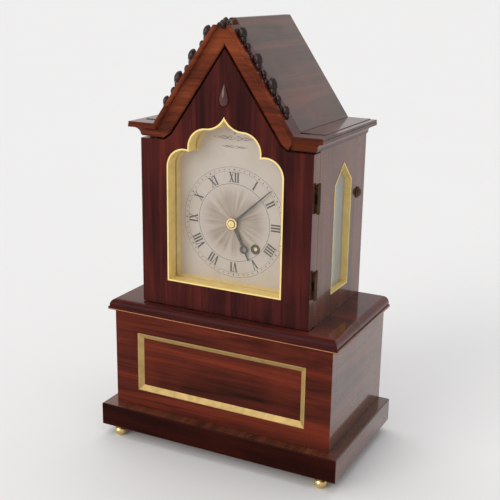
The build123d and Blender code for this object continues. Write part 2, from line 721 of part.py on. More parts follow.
def gear_sketch(teeth, module, phase, tooth=0.5, addendum=1.0, dedendum=1.25, tip=0.42):
    """A toothed disc about the origin of its plane: straight-flanked teeth, one of them at angle phase."""
    pitch_r = teeth * module / 2
    root_r, tip_r = pitch_r - dedendum * module, pitch_r + addendum * module
    step = 2 * math.pi / teeth
    points = []
    for index in range(teeth):
        middle = phase + index * step
        for radius, half in ((root_r, 0.30), (pitch_r, tooth / 2), (tip_r, tooth * tip / 2)):
            points.append((radius, middle - half * step))
        for radius, half in ((tip_r, tooth * tip / 2), (pitch_r, tooth / 2), (root_r, 0.30)):
            points.append((radius, middle + half * step))
    with BuildSketch(mode=Mode.PRIVATE) as toothed:
        with BuildLine():
            Polyline(*[(r * math.cos(a), r * math.sin(a)) for r, a in points], close=True)
        make_face()
    return toothed.sketch


def direction(a, b):
    """Angle of the line from a to b, in radians."""
    return math.atan2(b[1] - a[1], b[0] - a[0])


def toothed_disc(centre, y, sketch, holes=(), bore=0.0):
    """Add a toothed disc between two depths, with round crossings-out and a bore."""
    with BuildSketch(front_plane(y[1])) as section:
        with Locations(centre):
            add(sketch)
            if bore:
                Circle(bore, mode=Mode.SUBTRACT)
        for x, z, radius in holes:
            with Locations((centre[0] + x, centre[1] + z)):
                Circle(radius, mode=Mode.SUBTRACT)
    extrude(section.sketch, amount=y[1] - y[0])


def ring_holes(count, at, radius):
    """Positions of round crossings-out about a wheel's centre."""
    return [
        (at * math.cos(2 * math.pi * i / count), at * math.sin(2 * math.pi * i / count), radius)
        for i in range(count)
    ]


GREAT_MODULE = 2 * math.dist(CENTRE, WINDING) / (GREAT_TEETH + PINION_LEAVES)
CENTRE_MODULE = 0.42
THIRD_MODULE = 0.40
CANNON_MODULE = 0.625
HOUR_MODULE = 0.60
WHEEL = dict(tooth=0.40, addendum=0.85, dedendum=1.3, tip=0.30)
LEAF = dict(tooth=0.34, addendum=0.65, dedendum=1.25, tip=0.30)

third_span = CENTRE_MODULE * (CENTRE_TEETH + PINION_LEAVES) / 2
escape_span = THIRD_MODULE * (THIRD_TEETH + PINION_LEAVES) / 2
THIRD_X = -14.0
THIRD = (THIRD_X, CENTRE[1] + math.sqrt(third_span**2 - THIRD_X**2))
ESCAPE = (0.0, THIRD[1] + math.sqrt(escape_span**2 - THIRD_X**2))
ANCHOR = (0.0, ESCAPE[1] + ESCAPE_R * math.sqrt(2))
MINUTE = (15.0 * math.cos(math.radians(200)), CENTRE[1] + 15.0 * math.sin(math.radians(200)))

GREAT_Y = (-3.6, -1.2)
CENTRE_Y = (26.8, 28.2)
THIRD_Y = (10.0, 11.2)
ESCAPE_Y = (30.2, 31.2)
CANNON_Y = (-14.6, -12.4)
HOUR_Y = (-18.4, -16.4)

POST_R = 1.5
with BuildPart() as front_plate:
    bar((-MOVEMENT_HALF_W, MOVEMENT_HALF_W), PLATE_F, MOVEMENT_Z)
    for at, radius in (
        (CENTRE, ARBOR_R + RUN),
        (THIRD, PIVOT_R + RUN),
        (ESCAPE, PIVOT_R + RUN),
        (ANCHOR, PIVOT_R + RUN),
        (BARREL, FUSEE_ARBOR_R - 0.5 + RUN),
        (WINDING, FUSEE_ARBOR_R + RUN),
        *[(pillar, 2.0) for pillar in PILLARS],
    ):
        rod(at, radius, PLATE_F, Mode.SUBTRACT)
    rod(MINUTE, POST_R, (HOUR_Y[0] - 0.6, PLATE_F[0]))
    rod(MINUTE, POST_R + 1.1, (CANNON_Y[1] + 0.3, PLATE_F[0]))
pieces["front_plate"] = front_plate

with BuildPart() as back_plate:
    bar((-MOVEMENT_HALF_W, MOVEMENT_HALF_W), PLATE_B, MOVEMENT_Z)
    for at, radius in (
        (CENTRE, PIVOT_R + RUN),
        (THIRD, PIVOT_R + RUN),
        (ESCAPE, PIVOT_R + RUN),
        (ANCHOR, 2.2),
        (BARREL, FUSEE_ARBOR_R - 0.5 + RUN),
        (WINDING, FUSEE_ARBOR_R - 0.8 + RUN),
        *[(pillar, 2.0) for pillar in PILLARS],
    ):
        rod(at, radius, PLATE_B, Mode.SUBTRACT)
pieces["back_plate"] = back_plate

with BuildPart() as pillars:
    for pillar in PILLARS:
        rod(pillar, PILLAR_R, (PLATE_F[1], PLATE_B[0]))
        rod(pillar, 2.0, (PLATE_F[0] - 2.4, PLATE_F[1]))
        rod(pillar, 2.0, (PLATE_B[0], PLATE_B[1]))
        rod(pillar, 4.6, (BOLT_Y - 1.0, BOLT_Y + 1.0))
    for x, z in PILLARS[:2]:
        with Locations((x, BOLT_Y, z - 3.0)):
            Cylinder(BOLT_R, 9.0, mode=Mode.SUBTRACT)
pieces["pillars"] = pillars

with BuildPart() as seat_bolts:
    for x, z in PILLARS[:2]:
        with Locations((x, BOLT_Y, (SEAT_BOTTOM + z + 1.4) / 2)):
            Cylinder(BOLT_R, z + 1.4 - SEAT_BOTTOM)
        with Locations((x, BOLT_Y, SEAT_BOTTOM - 1.2)):
            Cylinder(2 * BOLT_R, 2.4)
pieces["seat_bolts"] = seat_bolts

DIAL_FEET = ((-38.0, 146.0), (38.0, 146.0), (-38.0, 234.0), (38.0, 234.0))
with BuildPart() as dial_plate:
    with BuildSketch(front_plane(DIAL_FRONT + DIAL_T)):
        add(arch_sketch(4.0))
        with Locations(CENTRE):
            Circle(3.2, mode=Mode.SUBTRACT)
        with Locations(WINDING):
            Circle(4.0, mode=Mode.SUBTRACT)
    extrude(amount=DIAL_T)
    for foot_at in DIAL_FEET:
        rod(foot_at, 2.0, (DIAL_FRONT + DIAL_T, PLATE_F[0]))
pieces["dial_plate"] = dial_plate

with BuildPart() as winding_bush:
    rod(WINDING, 4.0, (DIAL_FRONT - 0.3, DIAL_FRONT + DIAL_T))
    rod(WINDING, 3.1, (DIAL_FRONT - 0.3, DIAL_FRONT + DIAL_T), Mode.SUBTRACT)
pieces["winding_bush"] = winding_bush

# Great wheel, fusee and spring barrel.
with BuildPart() as great_wheel:
    great_phase = direction(WINDING, CENTRE)
    toothed_disc(
        WINDING,
        GREAT_Y,
        gear_sketch(GREAT_TEETH, GREAT_MODULE, great_phase, **WHEEL),
        bore=FUSEE_ARBOR_R + RUN,
    )
pieces["great_wheel"] = great_wheel

FUSEE_Y = (GREAT_Y[1] + 0.2, 24.0)
FUSEE_TURNS = 12
with BuildPart() as fusee:
    with BuildSketch(Plane.XY):
        with BuildLine():
            groove = (FUSEE_Y[1] - FUSEE_Y[0] - 3.0) / FUSEE_TURNS
            outline = [(0, FUSEE_Y[0]), (15.6, FUSEE_Y[0]), (15.6, FUSEE_Y[0] + 1.2)]
            for turn_index in range(FUSEE_TURNS):
                y = FUSEE_Y[0] + 1.2 + turn_index * groove
                radius = 14.6 - 6.4 * (turn_index / FUSEE_TURNS) ** 0.8
                outline += [
                    (radius - 0.6, y + 0.2 * groove),
                    (radius - 0.6, y + 0.8 * groove),
                    (radius, y + groove),
                ]
            outline += [(8.6, FUSEE_Y[1] - 1.6), (8.6, FUSEE_Y[1]), (0, FUSEE_Y[1])]
            Polyline(*outline, close=True)
        make_face()
    cone = revolve(axis=Axis.Y, mode=Mode.PRIVATE)
    with Locations((WINDING[0], 0, WINDING[1])):
        add(cone)
    rod(WINDING, FUSEE_ARBOR_R, (PLATE_F[0] - 0.4, FUSEE_Y[0]))
    rod(WINDING, FUSEE_ARBOR_R - 0.8, (FUSEE_Y[1], PLATE_B[1] + 0.6))
    rod(WINDING, FUSEE_ARBOR_R, (FUSEE_Y[1], PLATE_B[0] - 0.3))
    bar(
        (WINDING[0] - 1.9, WINDING[0] + 1.9),
        (DIAL_FRONT + 0.2, PLATE_F[0]),
        (WINDING[1] - 1.9, WINDING[1] + 1.9),
    )
pieces["fusee"] = fusee

BARREL_R = 18.6
BARREL_Y = (-1.0, 25.6)
with BuildPart() as barrel:
    rod(BARREL, BARREL_R, BARREL_Y)
    rod(BARREL, BARREL_R + 0.6, (BARREL_Y[0], BARREL_Y[0] + 1.2))
    rod(BARREL, BARREL_R + 0.6, (BARREL_Y[1] - 1.2, BARREL_Y[1]))
    rod(BARREL, BARREL_R - 1.4, (BARREL_Y[0] + 1.6, BARREL_Y[1] - 1.6), Mode.SUBTRACT)
    rod(BARREL, 3.0 + RUN, BARREL_Y, Mode.SUBTRACT)
pieces["barrel"] = barrel

with BuildPart() as barrel_arbor:
    rod(BARREL, 3.0, (BARREL_Y[0] - 0.6, BARREL_Y[1] + 0.6))
    rod(BARREL, FUSEE_ARBOR_R - 0.5, (PLATE_F[0] - 5.0, PLATE_B[1] + 1.0))
    rod(BARREL, FUSEE_ARBOR_R + 0.9, (PLATE_F[1], BARREL_Y[0] - 0.6))
pieces["barrel_arbor"] = barrel_arbor

SPRING_COILS = 5
SPRING_STEPS = 18
SPRING_T = 0.7
SPRING_R = (4.2, BARREL_R - 1.8)
SPRING_Y = (BARREL_Y[0] + 2.4, BARREL_Y[1] - 2.4)
with BuildPart() as mainspring:
    steps = SPRING_COILS * SPRING_STEPS
    outer = []
    inner = []
    for index in range(steps + 1):
        coil_r = SPRING_R[0] + (SPRING_R[1] - SPRING_R[0]) * index / steps
        coil_at = 2 * math.pi * index / SPRING_STEPS
        outer.append((coil_r * math.cos(coil_at), coil_r * math.sin(coil_at)))
        inner.append(((coil_r - SPRING_T) * math.cos(coil_at), (coil_r - SPRING_T) * math.sin(coil_at)))
    with BuildSketch(front_plane(SPRING_Y[1])):
        with Locations(BARREL):
            with BuildSketch(mode=Mode.PRIVATE) as spiral:
                with BuildLine():
                    Polyline(*outer, *reversed(inner), close=True)
                make_face()
            add(spiral.sketch)
    extrude(amount=SPRING_Y[1] - SPRING_Y[0])
pieces["mainspring"] = mainspring

CHAIN_Y = (2.0, 3.2)
CHAIN_T = 0.7
with BuildPart() as fusee_chain:
    span = math.dist(BARREL, WINDING)
    fusee_r = 14.9
    barrel_r = BARREL_R + 0.25
    along = direction(BARREL, WINDING)
    lean = math.asin((barrel_r - fusee_r) / span)
    normal = along + math.pi / 2 - lean
    start = (BARREL[0] + barrel_r * math.cos(normal), BARREL[1] + barrel_r * math.sin(normal))
    end = (WINDING[0] + fusee_r * math.cos(normal), WINDING[1] + fusee_r * math.sin(normal))
    thick = (CHAIN_T * math.cos(normal), CHAIN_T * math.sin(normal))
    with BuildSketch(front_plane(CHAIN_Y[1])):
        with BuildLine():
            Polyline(
                start,
                end,
                (end[0] + thick[0], end[1] + thick[1]),
                (start[0] + thick[0], start[1] + thick[1]),
                close=True,
            )
        make_face()
    extrude(amount=CHAIN_Y[1] - CHAIN_Y[0])
pieces["fusee_chain"] = fusee_chain

# Centre arbor with its pinion and wheel, cannon pinion and minute hand.
with BuildPart() as centre_arbor:
    pinion_phase = direction(CENTRE, WINDING) + math.pi / PINION_LEAVES
    toothed_disc(
        CENTRE,
        (GREAT_Y[0] - 0.6, GREAT_Y[1] + 0.6),
        gear_sketch(PINION_LEAVES, GREAT_MODULE, pinion_phase, **LEAF),
    )
    rod(CENTRE, ARBOR_R, (MINUTE_HAND_Y[0] - 1.2, PLATE_B[0] - 0.3))
    rod(CENTRE, PIVOT_R, (PLATE_B[0] - 0.3, PLATE_B[1] + 0.3))
    toothed_disc(
        CENTRE,
        CENTRE_Y,
        gear_sketch(CENTRE_TEETH, CENTRE_MODULE, direction(CENTRE, THIRD), **WHEEL),
        holes=ring_holes(5, 11.6, 5.4),
    )
pieces["centre_arbor"] = centre_arbor

with BuildPart() as cannon_pinion:
    toothed_disc(
        CENTRE,
        CANNON_Y,
        gear_sketch(CANNON_TEETH, CANNON_MODULE, direction(CENTRE, MINUTE), **LEAF),
    )
    rod(CENTRE, 1.7, (MINUTE_HAND_Y[0], CANNON_Y[1]))
    rod(CENTRE, ARBOR_R, (MINUTE_HAND_Y[0], CANNON_Y[1]), Mode.SUBTRACT)
pieces["cannon_pinion"] = cannon_pinion


def hand_sketch(length, half_w, tail, boss, angle, moon_at=0.0, moon_r=0.0):
    """A clock hand in the dial's plane, pointing at an angle clockwise from twelve."""
    with BuildSketch(mode=Mode.PRIVATE) as hand:
        with BuildLine():
            Polyline((-half_w, 0), (-0.35, length), (0.35, length), (half_w, 0), close=True)
        make_face()
        if tail:
            with Locations((0, -tail / 2)):
                Rectangle(2 * half_w, tail)
        Circle(boss)
        if moon_r:
            with Locations((0, moon_at)):
                Circle(moon_r)
                Circle(moon_r - 1.3, mode=Mode.SUBTRACT)
    return hand.sketch.rotate(Axis.Z, -angle)


with BuildPart() as minute_hand:
    with BuildSketch(front_plane(MINUTE_HAND_Y[1])):
        with Locations(CENTRE):
            add(hand_sketch(MINUTE_HAND_L, 1.15, 0.0, 4.0, MINUTE_ANGLE))
            Circle(1.7, mode=Mode.SUBTRACT)
    extrude(amount=MINUTE_HAND_Y[1] - MINUTE_HAND_Y[0])
pieces["minute_hand"] = minute_hand

with BuildPart() as hand_collet:
    rod(CENTRE, 4.4, (MINUTE_HAND_Y[0] - 0.8, MINUTE_HAND_Y[0]))
    rod(CENTRE, 2.6, (MINUTE_HAND_Y[0] - 1.5, MINUTE_HAND_Y[0] - 0.8))
    rod(CENTRE, ARBOR_R, (MINUTE_HAND_Y[0] - 1.5, MINUTE_HAND_Y[0]), Mode.SUBTRACT)
pieces["hand_collet"] = hand_collet

# Minute wheel and hour wheel with the hour hand.
with BuildPart() as minute_wheel:
    minute_phase = direction(MINUTE, CENTRE)
    toothed_disc(
        MINUTE,
        CANNON_Y,
        gear_sketch(MINUTE_TEETH, CANNON_MODULE, minute_phase + math.pi / MINUTE_TEETH, **WHEEL),
    )
    toothed_disc(
        MINUTE,
        (HOUR_Y[0] - 0.2, CANNON_Y[0]),
        gear_sketch(MINUTE_LEAVES, HOUR_MODULE, minute_phase, **LEAF),
    )
    rod(MINUTE, POST_R + RUN, (HOUR_Y[0] - 0.2, CANNON_Y[1]), Mode.SUBTRACT)
pieces["minute_wheel"] = minute_wheel

with BuildPart() as hour_wheel:
    toothed_disc(
        CENTRE,
        HOUR_Y,
        gear_sketch(HOUR_TEETH, HOUR_MODULE, direction(CENTRE, MINUTE) + math.pi / HOUR_TEETH, **WHEEL),
    )
    rod(CENTRE, 2.9, (HOUR_HAND_Y[0], HOUR_Y[1]))
    rod(CENTRE, 1.7 + RUN, (HOUR_HAND_Y[0], HOUR_Y[1]), Mode.SUBTRACT)
pieces["hour_wheel"] = hour_wheel

with BuildPart() as hour_hand:
    with BuildSketch(front_plane(HOUR_HAND_Y[1])):
        with Locations(CENTRE):
            add(hand_sketch(HOUR_HAND_L, 1.35, 0.0, 4.2, HOUR_ANGLE, moon_at=22.0, moon_r=3.3))
            Circle(2.9, mode=Mode.SUBTRACT)
    extrude(amount=HOUR_HAND_Y[1] - HOUR_HAND_Y[0])
pieces["hour_hand"] = hour_hand

# Third wheel and escape wheel.
with BuildPart() as third_wheel:
    third_phase = direction(THIRD, CENTRE) + math.pi / PINION_LEAVES
    toothed_disc(
        THIRD,
        THIRD_Y,
        gear_sketch(THIRD_TEETH, THIRD_MODULE, direction(THIRD, ESCAPE), **WHEEL),
        holes=ring_holes(4, 10.2, 5.2),
    )
    toothed_disc(
        THIRD,
        (CENTRE_Y[0] - 0.6, CENTRE_Y[1] + 0.6),
        gear_sketch(PINION_LEAVES, CENTRE_MODULE, third_phase, **LEAF),
    )
    rod(THIRD, ARBOR_R, (PLATE_F[1] + 0.3, PLATE_B[0] - 0.3))
    rod(THIRD, PIVOT_R, (PLATE_F[0] - 0.3, PLATE_B[1] + 0.3))
pieces["third_wheel"] = third_wheel


def escape_sketch():
    """The recoil escape wheel: pointed teeth that lean one way, a gap of them facing each pallet at rest."""
    step = 2 * math.pi / ESCAPE_TEETH
    root_r = 0.8 * ESCAPE_R
    points = []
    for index in range(ESCAPE_TEETH):
        tooth_at = math.pi / 4 + (index + 0.5) * step
        for radius, back in ((root_r, 0.62), (root_r, 0.16), (ESCAPE_R, 0.0), (ESCAPE_R, -0.05)):
            at = tooth_at - back * step
            points.append((radius * math.cos(at), radius * math.sin(at)))
    with BuildSketch(mode=Mode.PRIVATE) as toothed:
        with BuildLine():
            Polyline(*points, close=True)
        make_face()
    return toothed.sketch


with BuildPart() as escape_wheel:
    escape_phase = direction(ESCAPE, THIRD) + math.pi / PINION_LEAVES
    toothed_disc(ESCAPE, ESCAPE_Y, escape_sketch(), holes=ring_holes(4, 5.4, 2.9))
    toothed_disc(
        ESCAPE,
        (THIRD_Y[0] - 0.6, THIRD_Y[1] + 0.6),
        gear_sketch(PINION_LEAVES, THIRD_MODULE, escape_phase, **LEAF),
    )
    rod(ESCAPE, ARBOR_R, (PLATE_F[1] + 0.3, PLATE_B[0] - 0.3))
    rod(ESCAPE, PIVOT_R, (PLATE_F[0] - 0.3, PLATE_B[1] + 0.3))
pieces["escape_wheel"] = escape_wheel

# Anchor with its arbor and crutch, back cock, pendulum.
COCK_Y = (39.4, 40.8)
CRUTCH_Y = (37.6, 38.4)
FORK_Z = 196.0
PALLET_CLEAR = 0.68
with BuildPart() as anchor:
    with BuildSketch(front_plane(ESCAPE_Y[1] + 0.2)):
        with BuildLine():
            tip = (ESCAPE_R + PALLET_CLEAR) / math.sqrt(2)
            Polyline(
                (tip, ESCAPE[1] + tip),
                (tip + 2.5, ESCAPE[1] + tip - 0.1),
                (tip + 2.8, ESCAPE[1] + tip + 3.6),
                (2.4, ANCHOR[1] + 2.6),
                (-2.4, ANCHOR[1] + 2.6),
                (-tip - 2.8, ESCAPE[1] + tip + 3.6),
                (-tip - 2.5, ESCAPE[1] + tip - 0.1),
                (-tip, ESCAPE[1] + tip),
                (-tip + 0.6, ESCAPE[1] + tip + 3.2),
                (-2.4, ANCHOR[1] - 2.0),
                (2.4, ANCHOR[1] - 2.0),
                (tip - 0.6, ESCAPE[1] + tip + 3.2),
                close=True,
            )
        make_face()
    extrude(amount=ESCAPE_Y[1] - ESCAPE_Y[0] + 0.4)
    rod(ANCHOR, ARBOR_R, (PLATE_F[1] + 0.3, COCK_Y[0] - 0.3))
    rod(ANCHOR, PIVOT_R, (PLATE_F[0] - 0.3, PLATE_F[1] + 0.3))
    rod(ANCHOR, PIVOT_R, (COCK_Y[0] - 0.3, COCK_Y[1] + 0.2))
    rod(ANCHOR, 2.0, (CRUTCH_Y[0] - 0.6, CRUTCH_Y[1] + 0.5))
    bar((-0.9, 0.9), CRUTCH_Y, (FORK_Z - 2.0, ANCHOR[1]))
    for sign in (-1, 1):
        bar(sorted((sign * 1.7, sign * 2.7)), (CRUTCH_Y[0], PENDULUM_Y + 1.5), (FORK_Z - 1.2, FORK_Z + 1.2))
    bar((-2.7, 2.7), CRUTCH_Y, (FORK_Z - 2.2, FORK_Z + 1.2))
pieces["anchor"] = anchor

SUSPENSION_TOP = ANCHOR[1] + 9.0
with BuildPart() as back_cock:
    bar((-15.0, 15.0), (COCK_Y[0], COCK_Y[1]), (ANCHOR[1] - 5.0, SUSPENSION_TOP))
    for sign in (-1, 1):
        foot_x = sorted((sign * 15.0, sign * 10.0))
        bar(foot_x, (PLATE_B[1], COCK_Y[0]), (ANCHOR[1] - 5.0, SUSPENSION_TOP))
    bar((-10.0, 10.0), (COCK_Y[1], PENDULUM_Y + 2.0), (ANCHOR[1] + 4.0, SUSPENSION_TOP))
    cut((-2.0, 2.0), (PENDULUM_Y - 0.15, PENDULUM_Y + 0.15), (ANCHOR[1] + 4.0, SUSPENSION_TOP))
    rod(ANCHOR, PIVOT_R + RUN, COCK_Y, Mode.SUBTRACT)
pieces["back_cock"] = back_cock

ROD_W = 3.0
ROD_T = 1.5
BOB_T = 9.0
SPRING_HALF_W = 1.2
SPRING_HALF_T = 0.1
SPRING_CLAMP = 4.0
with BuildPart() as suspension_spring:
    bar(
        (-SPRING_HALF_W, SPRING_HALF_W),
        (PENDULUM_Y - SPRING_HALF_T, PENDULUM_Y + SPRING_HALF_T),
        (ANCHOR[1] - SPRING_CLAMP, SUSPENSION_TOP - 0.5),
    )
pieces["suspension_spring"] = suspension_spring

with BuildPart() as pendulum_rod:
    bar(
        (-ROD_W / 2, ROD_W / 2),
        (PENDULUM_Y - ROD_T / 2, PENDULUM_Y + ROD_T / 2),
        (BOB_Z - BOB_R, ANCHOR[1] - SPRING_CLAMP),
    )
    with Locations((0, PENDULUM_Y, BOB_Z - BOB_R - 4.0)):
        Cylinder(ROD_T / 2, 8.0)
pieces["pendulum_rod"] = pendulum_rod

with BuildPart() as pendulum_bob:
    with BuildSketch(Plane.XY):
        with BuildLine():
            Line((0, -BOB_T / 2), (0, BOB_T / 2))
            Line((0, BOB_T / 2), (3.0, BOB_T / 2))
            ThreePointArc((3.0, BOB_T / 2), (10.4, 2.4), (BOB_R, 0.5))
            Line((BOB_R, 0.5), (BOB_R, -0.5))
            ThreePointArc((BOB_R, -0.5), (10.4, -2.4), (3.0, -BOB_T / 2))
            Line((3.0, -BOB_T / 2), (0, -BOB_T / 2))
        make_face()
    lens = revolve(axis=Axis.Y, mode=Mode.PRIVATE)
    with Locations((0, PENDULUM_Y, BOB_Z)):
        add(lens)
    cut(
        (-ROD_W / 2, ROD_W / 2),
        (PENDULUM_Y - ROD_T / 2, PENDULUM_Y + ROD_T / 2),
        (BOB_Z - BOB_R - 1.0, BOB_Z + BOB_R + 1.0),
    )
pieces["pendulum_bob"] = pendulum_bob

NUT_TOP = BOB_Z - BOB_R - 0.3
with BuildPart() as rating_nut:
    with Locations((0, PENDULUM_Y, NUT_TOP - 1.5)):
        Cylinder(3.2, 3.0)
        Cylinder(ROD_T / 2, 3.0, mode=Mode.SUBTRACT)
pieces["rating_nut"] = rating_nut

os.makedirs("parts", exist_ok=True)
for name, piece in pieces.items():
    piece.part.label = name
    export_step(piece.part, f"parts/{name}.step")
print(len(pieces), "pieces")
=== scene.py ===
import math

import bmesh
import bpy
from mathutils import Matrix, Vector


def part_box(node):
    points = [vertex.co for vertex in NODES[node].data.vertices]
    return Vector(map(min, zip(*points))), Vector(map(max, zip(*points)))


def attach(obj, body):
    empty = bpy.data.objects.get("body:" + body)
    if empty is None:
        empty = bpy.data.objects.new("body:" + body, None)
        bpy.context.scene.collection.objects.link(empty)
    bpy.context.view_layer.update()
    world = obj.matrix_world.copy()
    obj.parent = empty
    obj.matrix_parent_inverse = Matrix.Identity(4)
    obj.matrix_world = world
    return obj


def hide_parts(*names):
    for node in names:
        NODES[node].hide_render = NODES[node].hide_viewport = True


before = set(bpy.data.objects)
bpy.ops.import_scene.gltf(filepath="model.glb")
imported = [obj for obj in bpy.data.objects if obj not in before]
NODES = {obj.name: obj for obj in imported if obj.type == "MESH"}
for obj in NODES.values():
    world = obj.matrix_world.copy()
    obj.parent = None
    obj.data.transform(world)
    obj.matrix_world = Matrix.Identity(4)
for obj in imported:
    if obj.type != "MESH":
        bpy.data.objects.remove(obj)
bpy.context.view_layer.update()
MM = 0.001

# ---------------------------------------------------------------- shader helpers


def new_material(name):
    """A material with its node tree and its Principled shader."""
    material = bpy.data.materials.new(name)
    material.use_nodes = True
    tree = material.node_tree
    return material, tree, tree.nodes["Principled BSDF"]


def put(tree, socket, value):
    """Feed a socket with another socket or with a plain value."""
    if isinstance(value, bpy.types.NodeSocket):
        tree.links.new(value, socket)
    else:
        socket.default_value = value


def add_node(tree, kind, inputs=None, **settings):
    """A node with its settings and inputs filled in."""
    made = tree.nodes.new(kind)
    for key, value in settings.items():
        setattr(made, key, value)
    for key, value in (inputs or {}).items():
        put(tree, made.inputs[key], value)
    return made


def object_coords(tree, scale, shift=(0, 0, 0), turn=(0, 0, 0)):
    """The shared frame's coordinates in metres, scaled by one number or by one for each axis."""
    each = scale if isinstance(scale, tuple) else (scale, scale, scale)
    coords = add_node(tree, "ShaderNodeTexCoord")
    mapping = add_node(
        tree,
        "ShaderNodeMapping",
        {"Vector": coords.outputs["Object"], "Scale": each, "Location": shift, "Rotation": turn},
    )
    return mapping.outputs["Vector"]


def noise(tree, vector, scale=1.0, detail=4.0, roughness=0.6, distortion=0.0):
    """Noise in 0..1."""
    inputs = {
        "Vector": vector,
        "Scale": scale,
        "Detail": detail,
        "Roughness": roughness,
        "Distortion": distortion,
    }
    return add_node(tree, "ShaderNodeTexNoise", inputs).outputs["Fac"]


def ramp(tree, value, stops):
    """A colour ramp from (position, colour) stops."""
    made = add_node(tree, "ShaderNodeValToRGB", {"Fac": value})
    elements = made.color_ramp.elements
    while len(elements) < len(stops):
        elements.new(0.5)
    for element, (position, colour) in zip(elements, stops):
        element.position = position
        element.color = (*colour, 1.0)
    return made.outputs["Color"]


def spread(tree, value, low, high, to_low=0.0, to_high=1.0):
    """Map a range of values to another, clamped."""
    inputs = {"Value": value, "From Min": low, "From Max": high, "To Min": to_low, "To Max": to_high}
    return add_node(tree, "ShaderNodeMapRange", inputs).outputs["Result"]


def math_node(tree, operation, a, b=0.0):
    """One arithmetic step."""
    made = add_node(tree, "ShaderNodeMath", operation=operation)
    put(tree, made.inputs[0], a)
    put(tree, made.inputs[1], b)
    return made.outputs["Value"]


def mix(tree, factor, a, b):
    """Mix two colours."""
    made = add_node(tree, "ShaderNodeMix", data_type="RGBA")
    put(tree, made.inputs["Factor"], factor)
    for key, value in (("A", a), ("B", b)):
        socket = [s for s in made.inputs if s.name == key and s.type == "RGBA"][0]
        put(tree, socket, value if isinstance(value, bpy.types.NodeSocket) else (*value, 1.0))
    return [s for s in made.outputs if s.type == "RGBA"][0]


def bump(tree, bsdf, height, strength, distance):
    """Surface relief, from a height in 0..1."""
    inputs = {"Height": height, "Strength": strength, "Distance": distance}
    relief = add_node(tree, "ShaderNodeBump", inputs)
    tree.links.new(relief.outputs["Normal"], bsdf.inputs["Normal"])


# ---------------------------------------------------------------- materials
# Noise cycles per metre: few along the grain, many across it.
GRAIN = {"x": (5.0, 75.0, 75.0), "y": (75.0, 5.0, 75.0), "z": (75.0, 75.0, 5.0)}
STREAK = {"x": (14.0, 620.0, 620.0), "y": (620.0, 14.0, 620.0), "z": (620.0, 620.0, 14.0)}
CLEAR_IOR = 1.5


def rosewood(name, along, shades, shift, coat, tilt=0.0, gloss=0.22, level=0.15):
    """French-polished rosewood: red-brown with near-black figure, fine pores along the grain."""
    dark, middle, light = shades
    material, tree, bsdf = new_material(name)
    turn = {"x": (0, tilt, 0), "y": (tilt, 0, 0), "z": (0, tilt, 0)}[along]
    figure_at = object_coords(tree, GRAIN[along], (shift, shift * 1.7, shift * 0.6), turn)
    figure = noise(tree, figure_at, detail=5.0, roughness=0.62, distortion=0.9)
    streaks_at = object_coords(tree, STREAK[along], (shift, 0, shift), turn)
    streaks = noise(tree, streaks_at, detail=3.0, distortion=0.2)
    blotch_at = object_coords(tree, 13, (shift, shift, 0))
    blotch = noise(tree, blotch_at, detail=3.0, roughness=0.5, distortion=0.4)
    body = ramp(tree, figure, [(0.30, dark), (0.50, middle), (0.72, light)])
    lined = mix(tree, spread(tree, streaks, 0.50, 0.72, 0.0, 0.65), body, dark)
    redder = mix(tree, spread(tree, blotch, 0.45, 0.75, 0.0, 0.45), lined, light)
    tree.links.new(redder, bsdf.inputs["Base Color"])
    wear = noise(tree, object_coords(tree, 40), detail=5.0)
    put(tree, bsdf.inputs["Roughness"], spread(tree, wear, 0.3, 0.8, gloss, gloss + 0.16))
    bsdf.inputs["IOR"].default_value = CLEAR_IOR
    bsdf.inputs["Specular IOR Level"].default_value = level
    bsdf.inputs["Coat Weight"].default_value = coat
    bsdf.inputs["Coat Roughness"].default_value = 0.07
    bump(tree, bsdf, streaks, 0.05, 0.0001)
    return material


def plain_wood(name, along, shades, rough):
    """Waxed or bare secondary timber."""
    dark, middle, light = shades
    material, tree, bsdf = new_material(name)
    figure = noise(tree, object_coords(tree, GRAIN[along]), detail=5.0, distortion=0.7)
    streaks = noise(tree, object_coords(tree, STREAK[along]), detail=3.0, distortion=0.2)
    body = ramp(tree, figure, [(0.30, dark), (0.50, middle), (0.70, light)])
    lined = mix(tree, spread(tree, streaks, 0.50, 0.75, 0.0, 0.55), body, dark)
    tree.links.new(lined, bsdf.inputs["Base Color"])
    put(tree, bsdf.inputs["Roughness"], spread(tree, streaks, 0.3, 0.7, rough, rough + 0.15))
    bump(tree, bsdf, streaks, 0.2, 0.0001)
    return material


def brass(name, colour, shade, rough, brushed=None, stain=0.5, metal=1.0):
    """Brass with tarnish in patches and, if brushed, fine lines along one axis."""
    material, tree, bsdf = new_material(name)
    bsdf.inputs["Metallic"].default_value = metal
    patch = noise(tree, object_coords(tree, 120), detail=5.0, roughness=0.65, distortion=0.3)
    toned = mix(tree, spread(tree, patch, 0.42, 0.75, 0.0, stain), colour, shade)
    tree.links.new(toned, bsdf.inputs["Base Color"])
    lines_at = object_coords(tree, STREAK[brushed] if brushed else 900)
    lines = noise(tree, lines_at, 1.5, detail=2.0, roughness=0.5)
    put(tree, bsdf.inputs["Roughness"], spread(tree, patch, 0.3, 0.8, rough, rough + 0.2))
    bump(tree, bsdf, lines, 0.15, 0.00005)
    return material


def steel(name, colour, rough):
    """Polished or blued steel with faint patches."""
    material, tree, bsdf = new_material(name)
    bsdf.inputs["Metallic"].default_value = 1.0
    patch = noise(tree, object_coords(tree, 300))
    darker = tuple(0.6 * c for c in colour)
    tree.links.new(mix(tree, spread(tree, patch, 0.35, 0.75), colour, darker), bsdf.inputs["Base Color"])
    put(tree, bsdf.inputs["Roughness"], spread(tree, patch, 0.3, 0.7, rough, rough + 0.15))
    return material


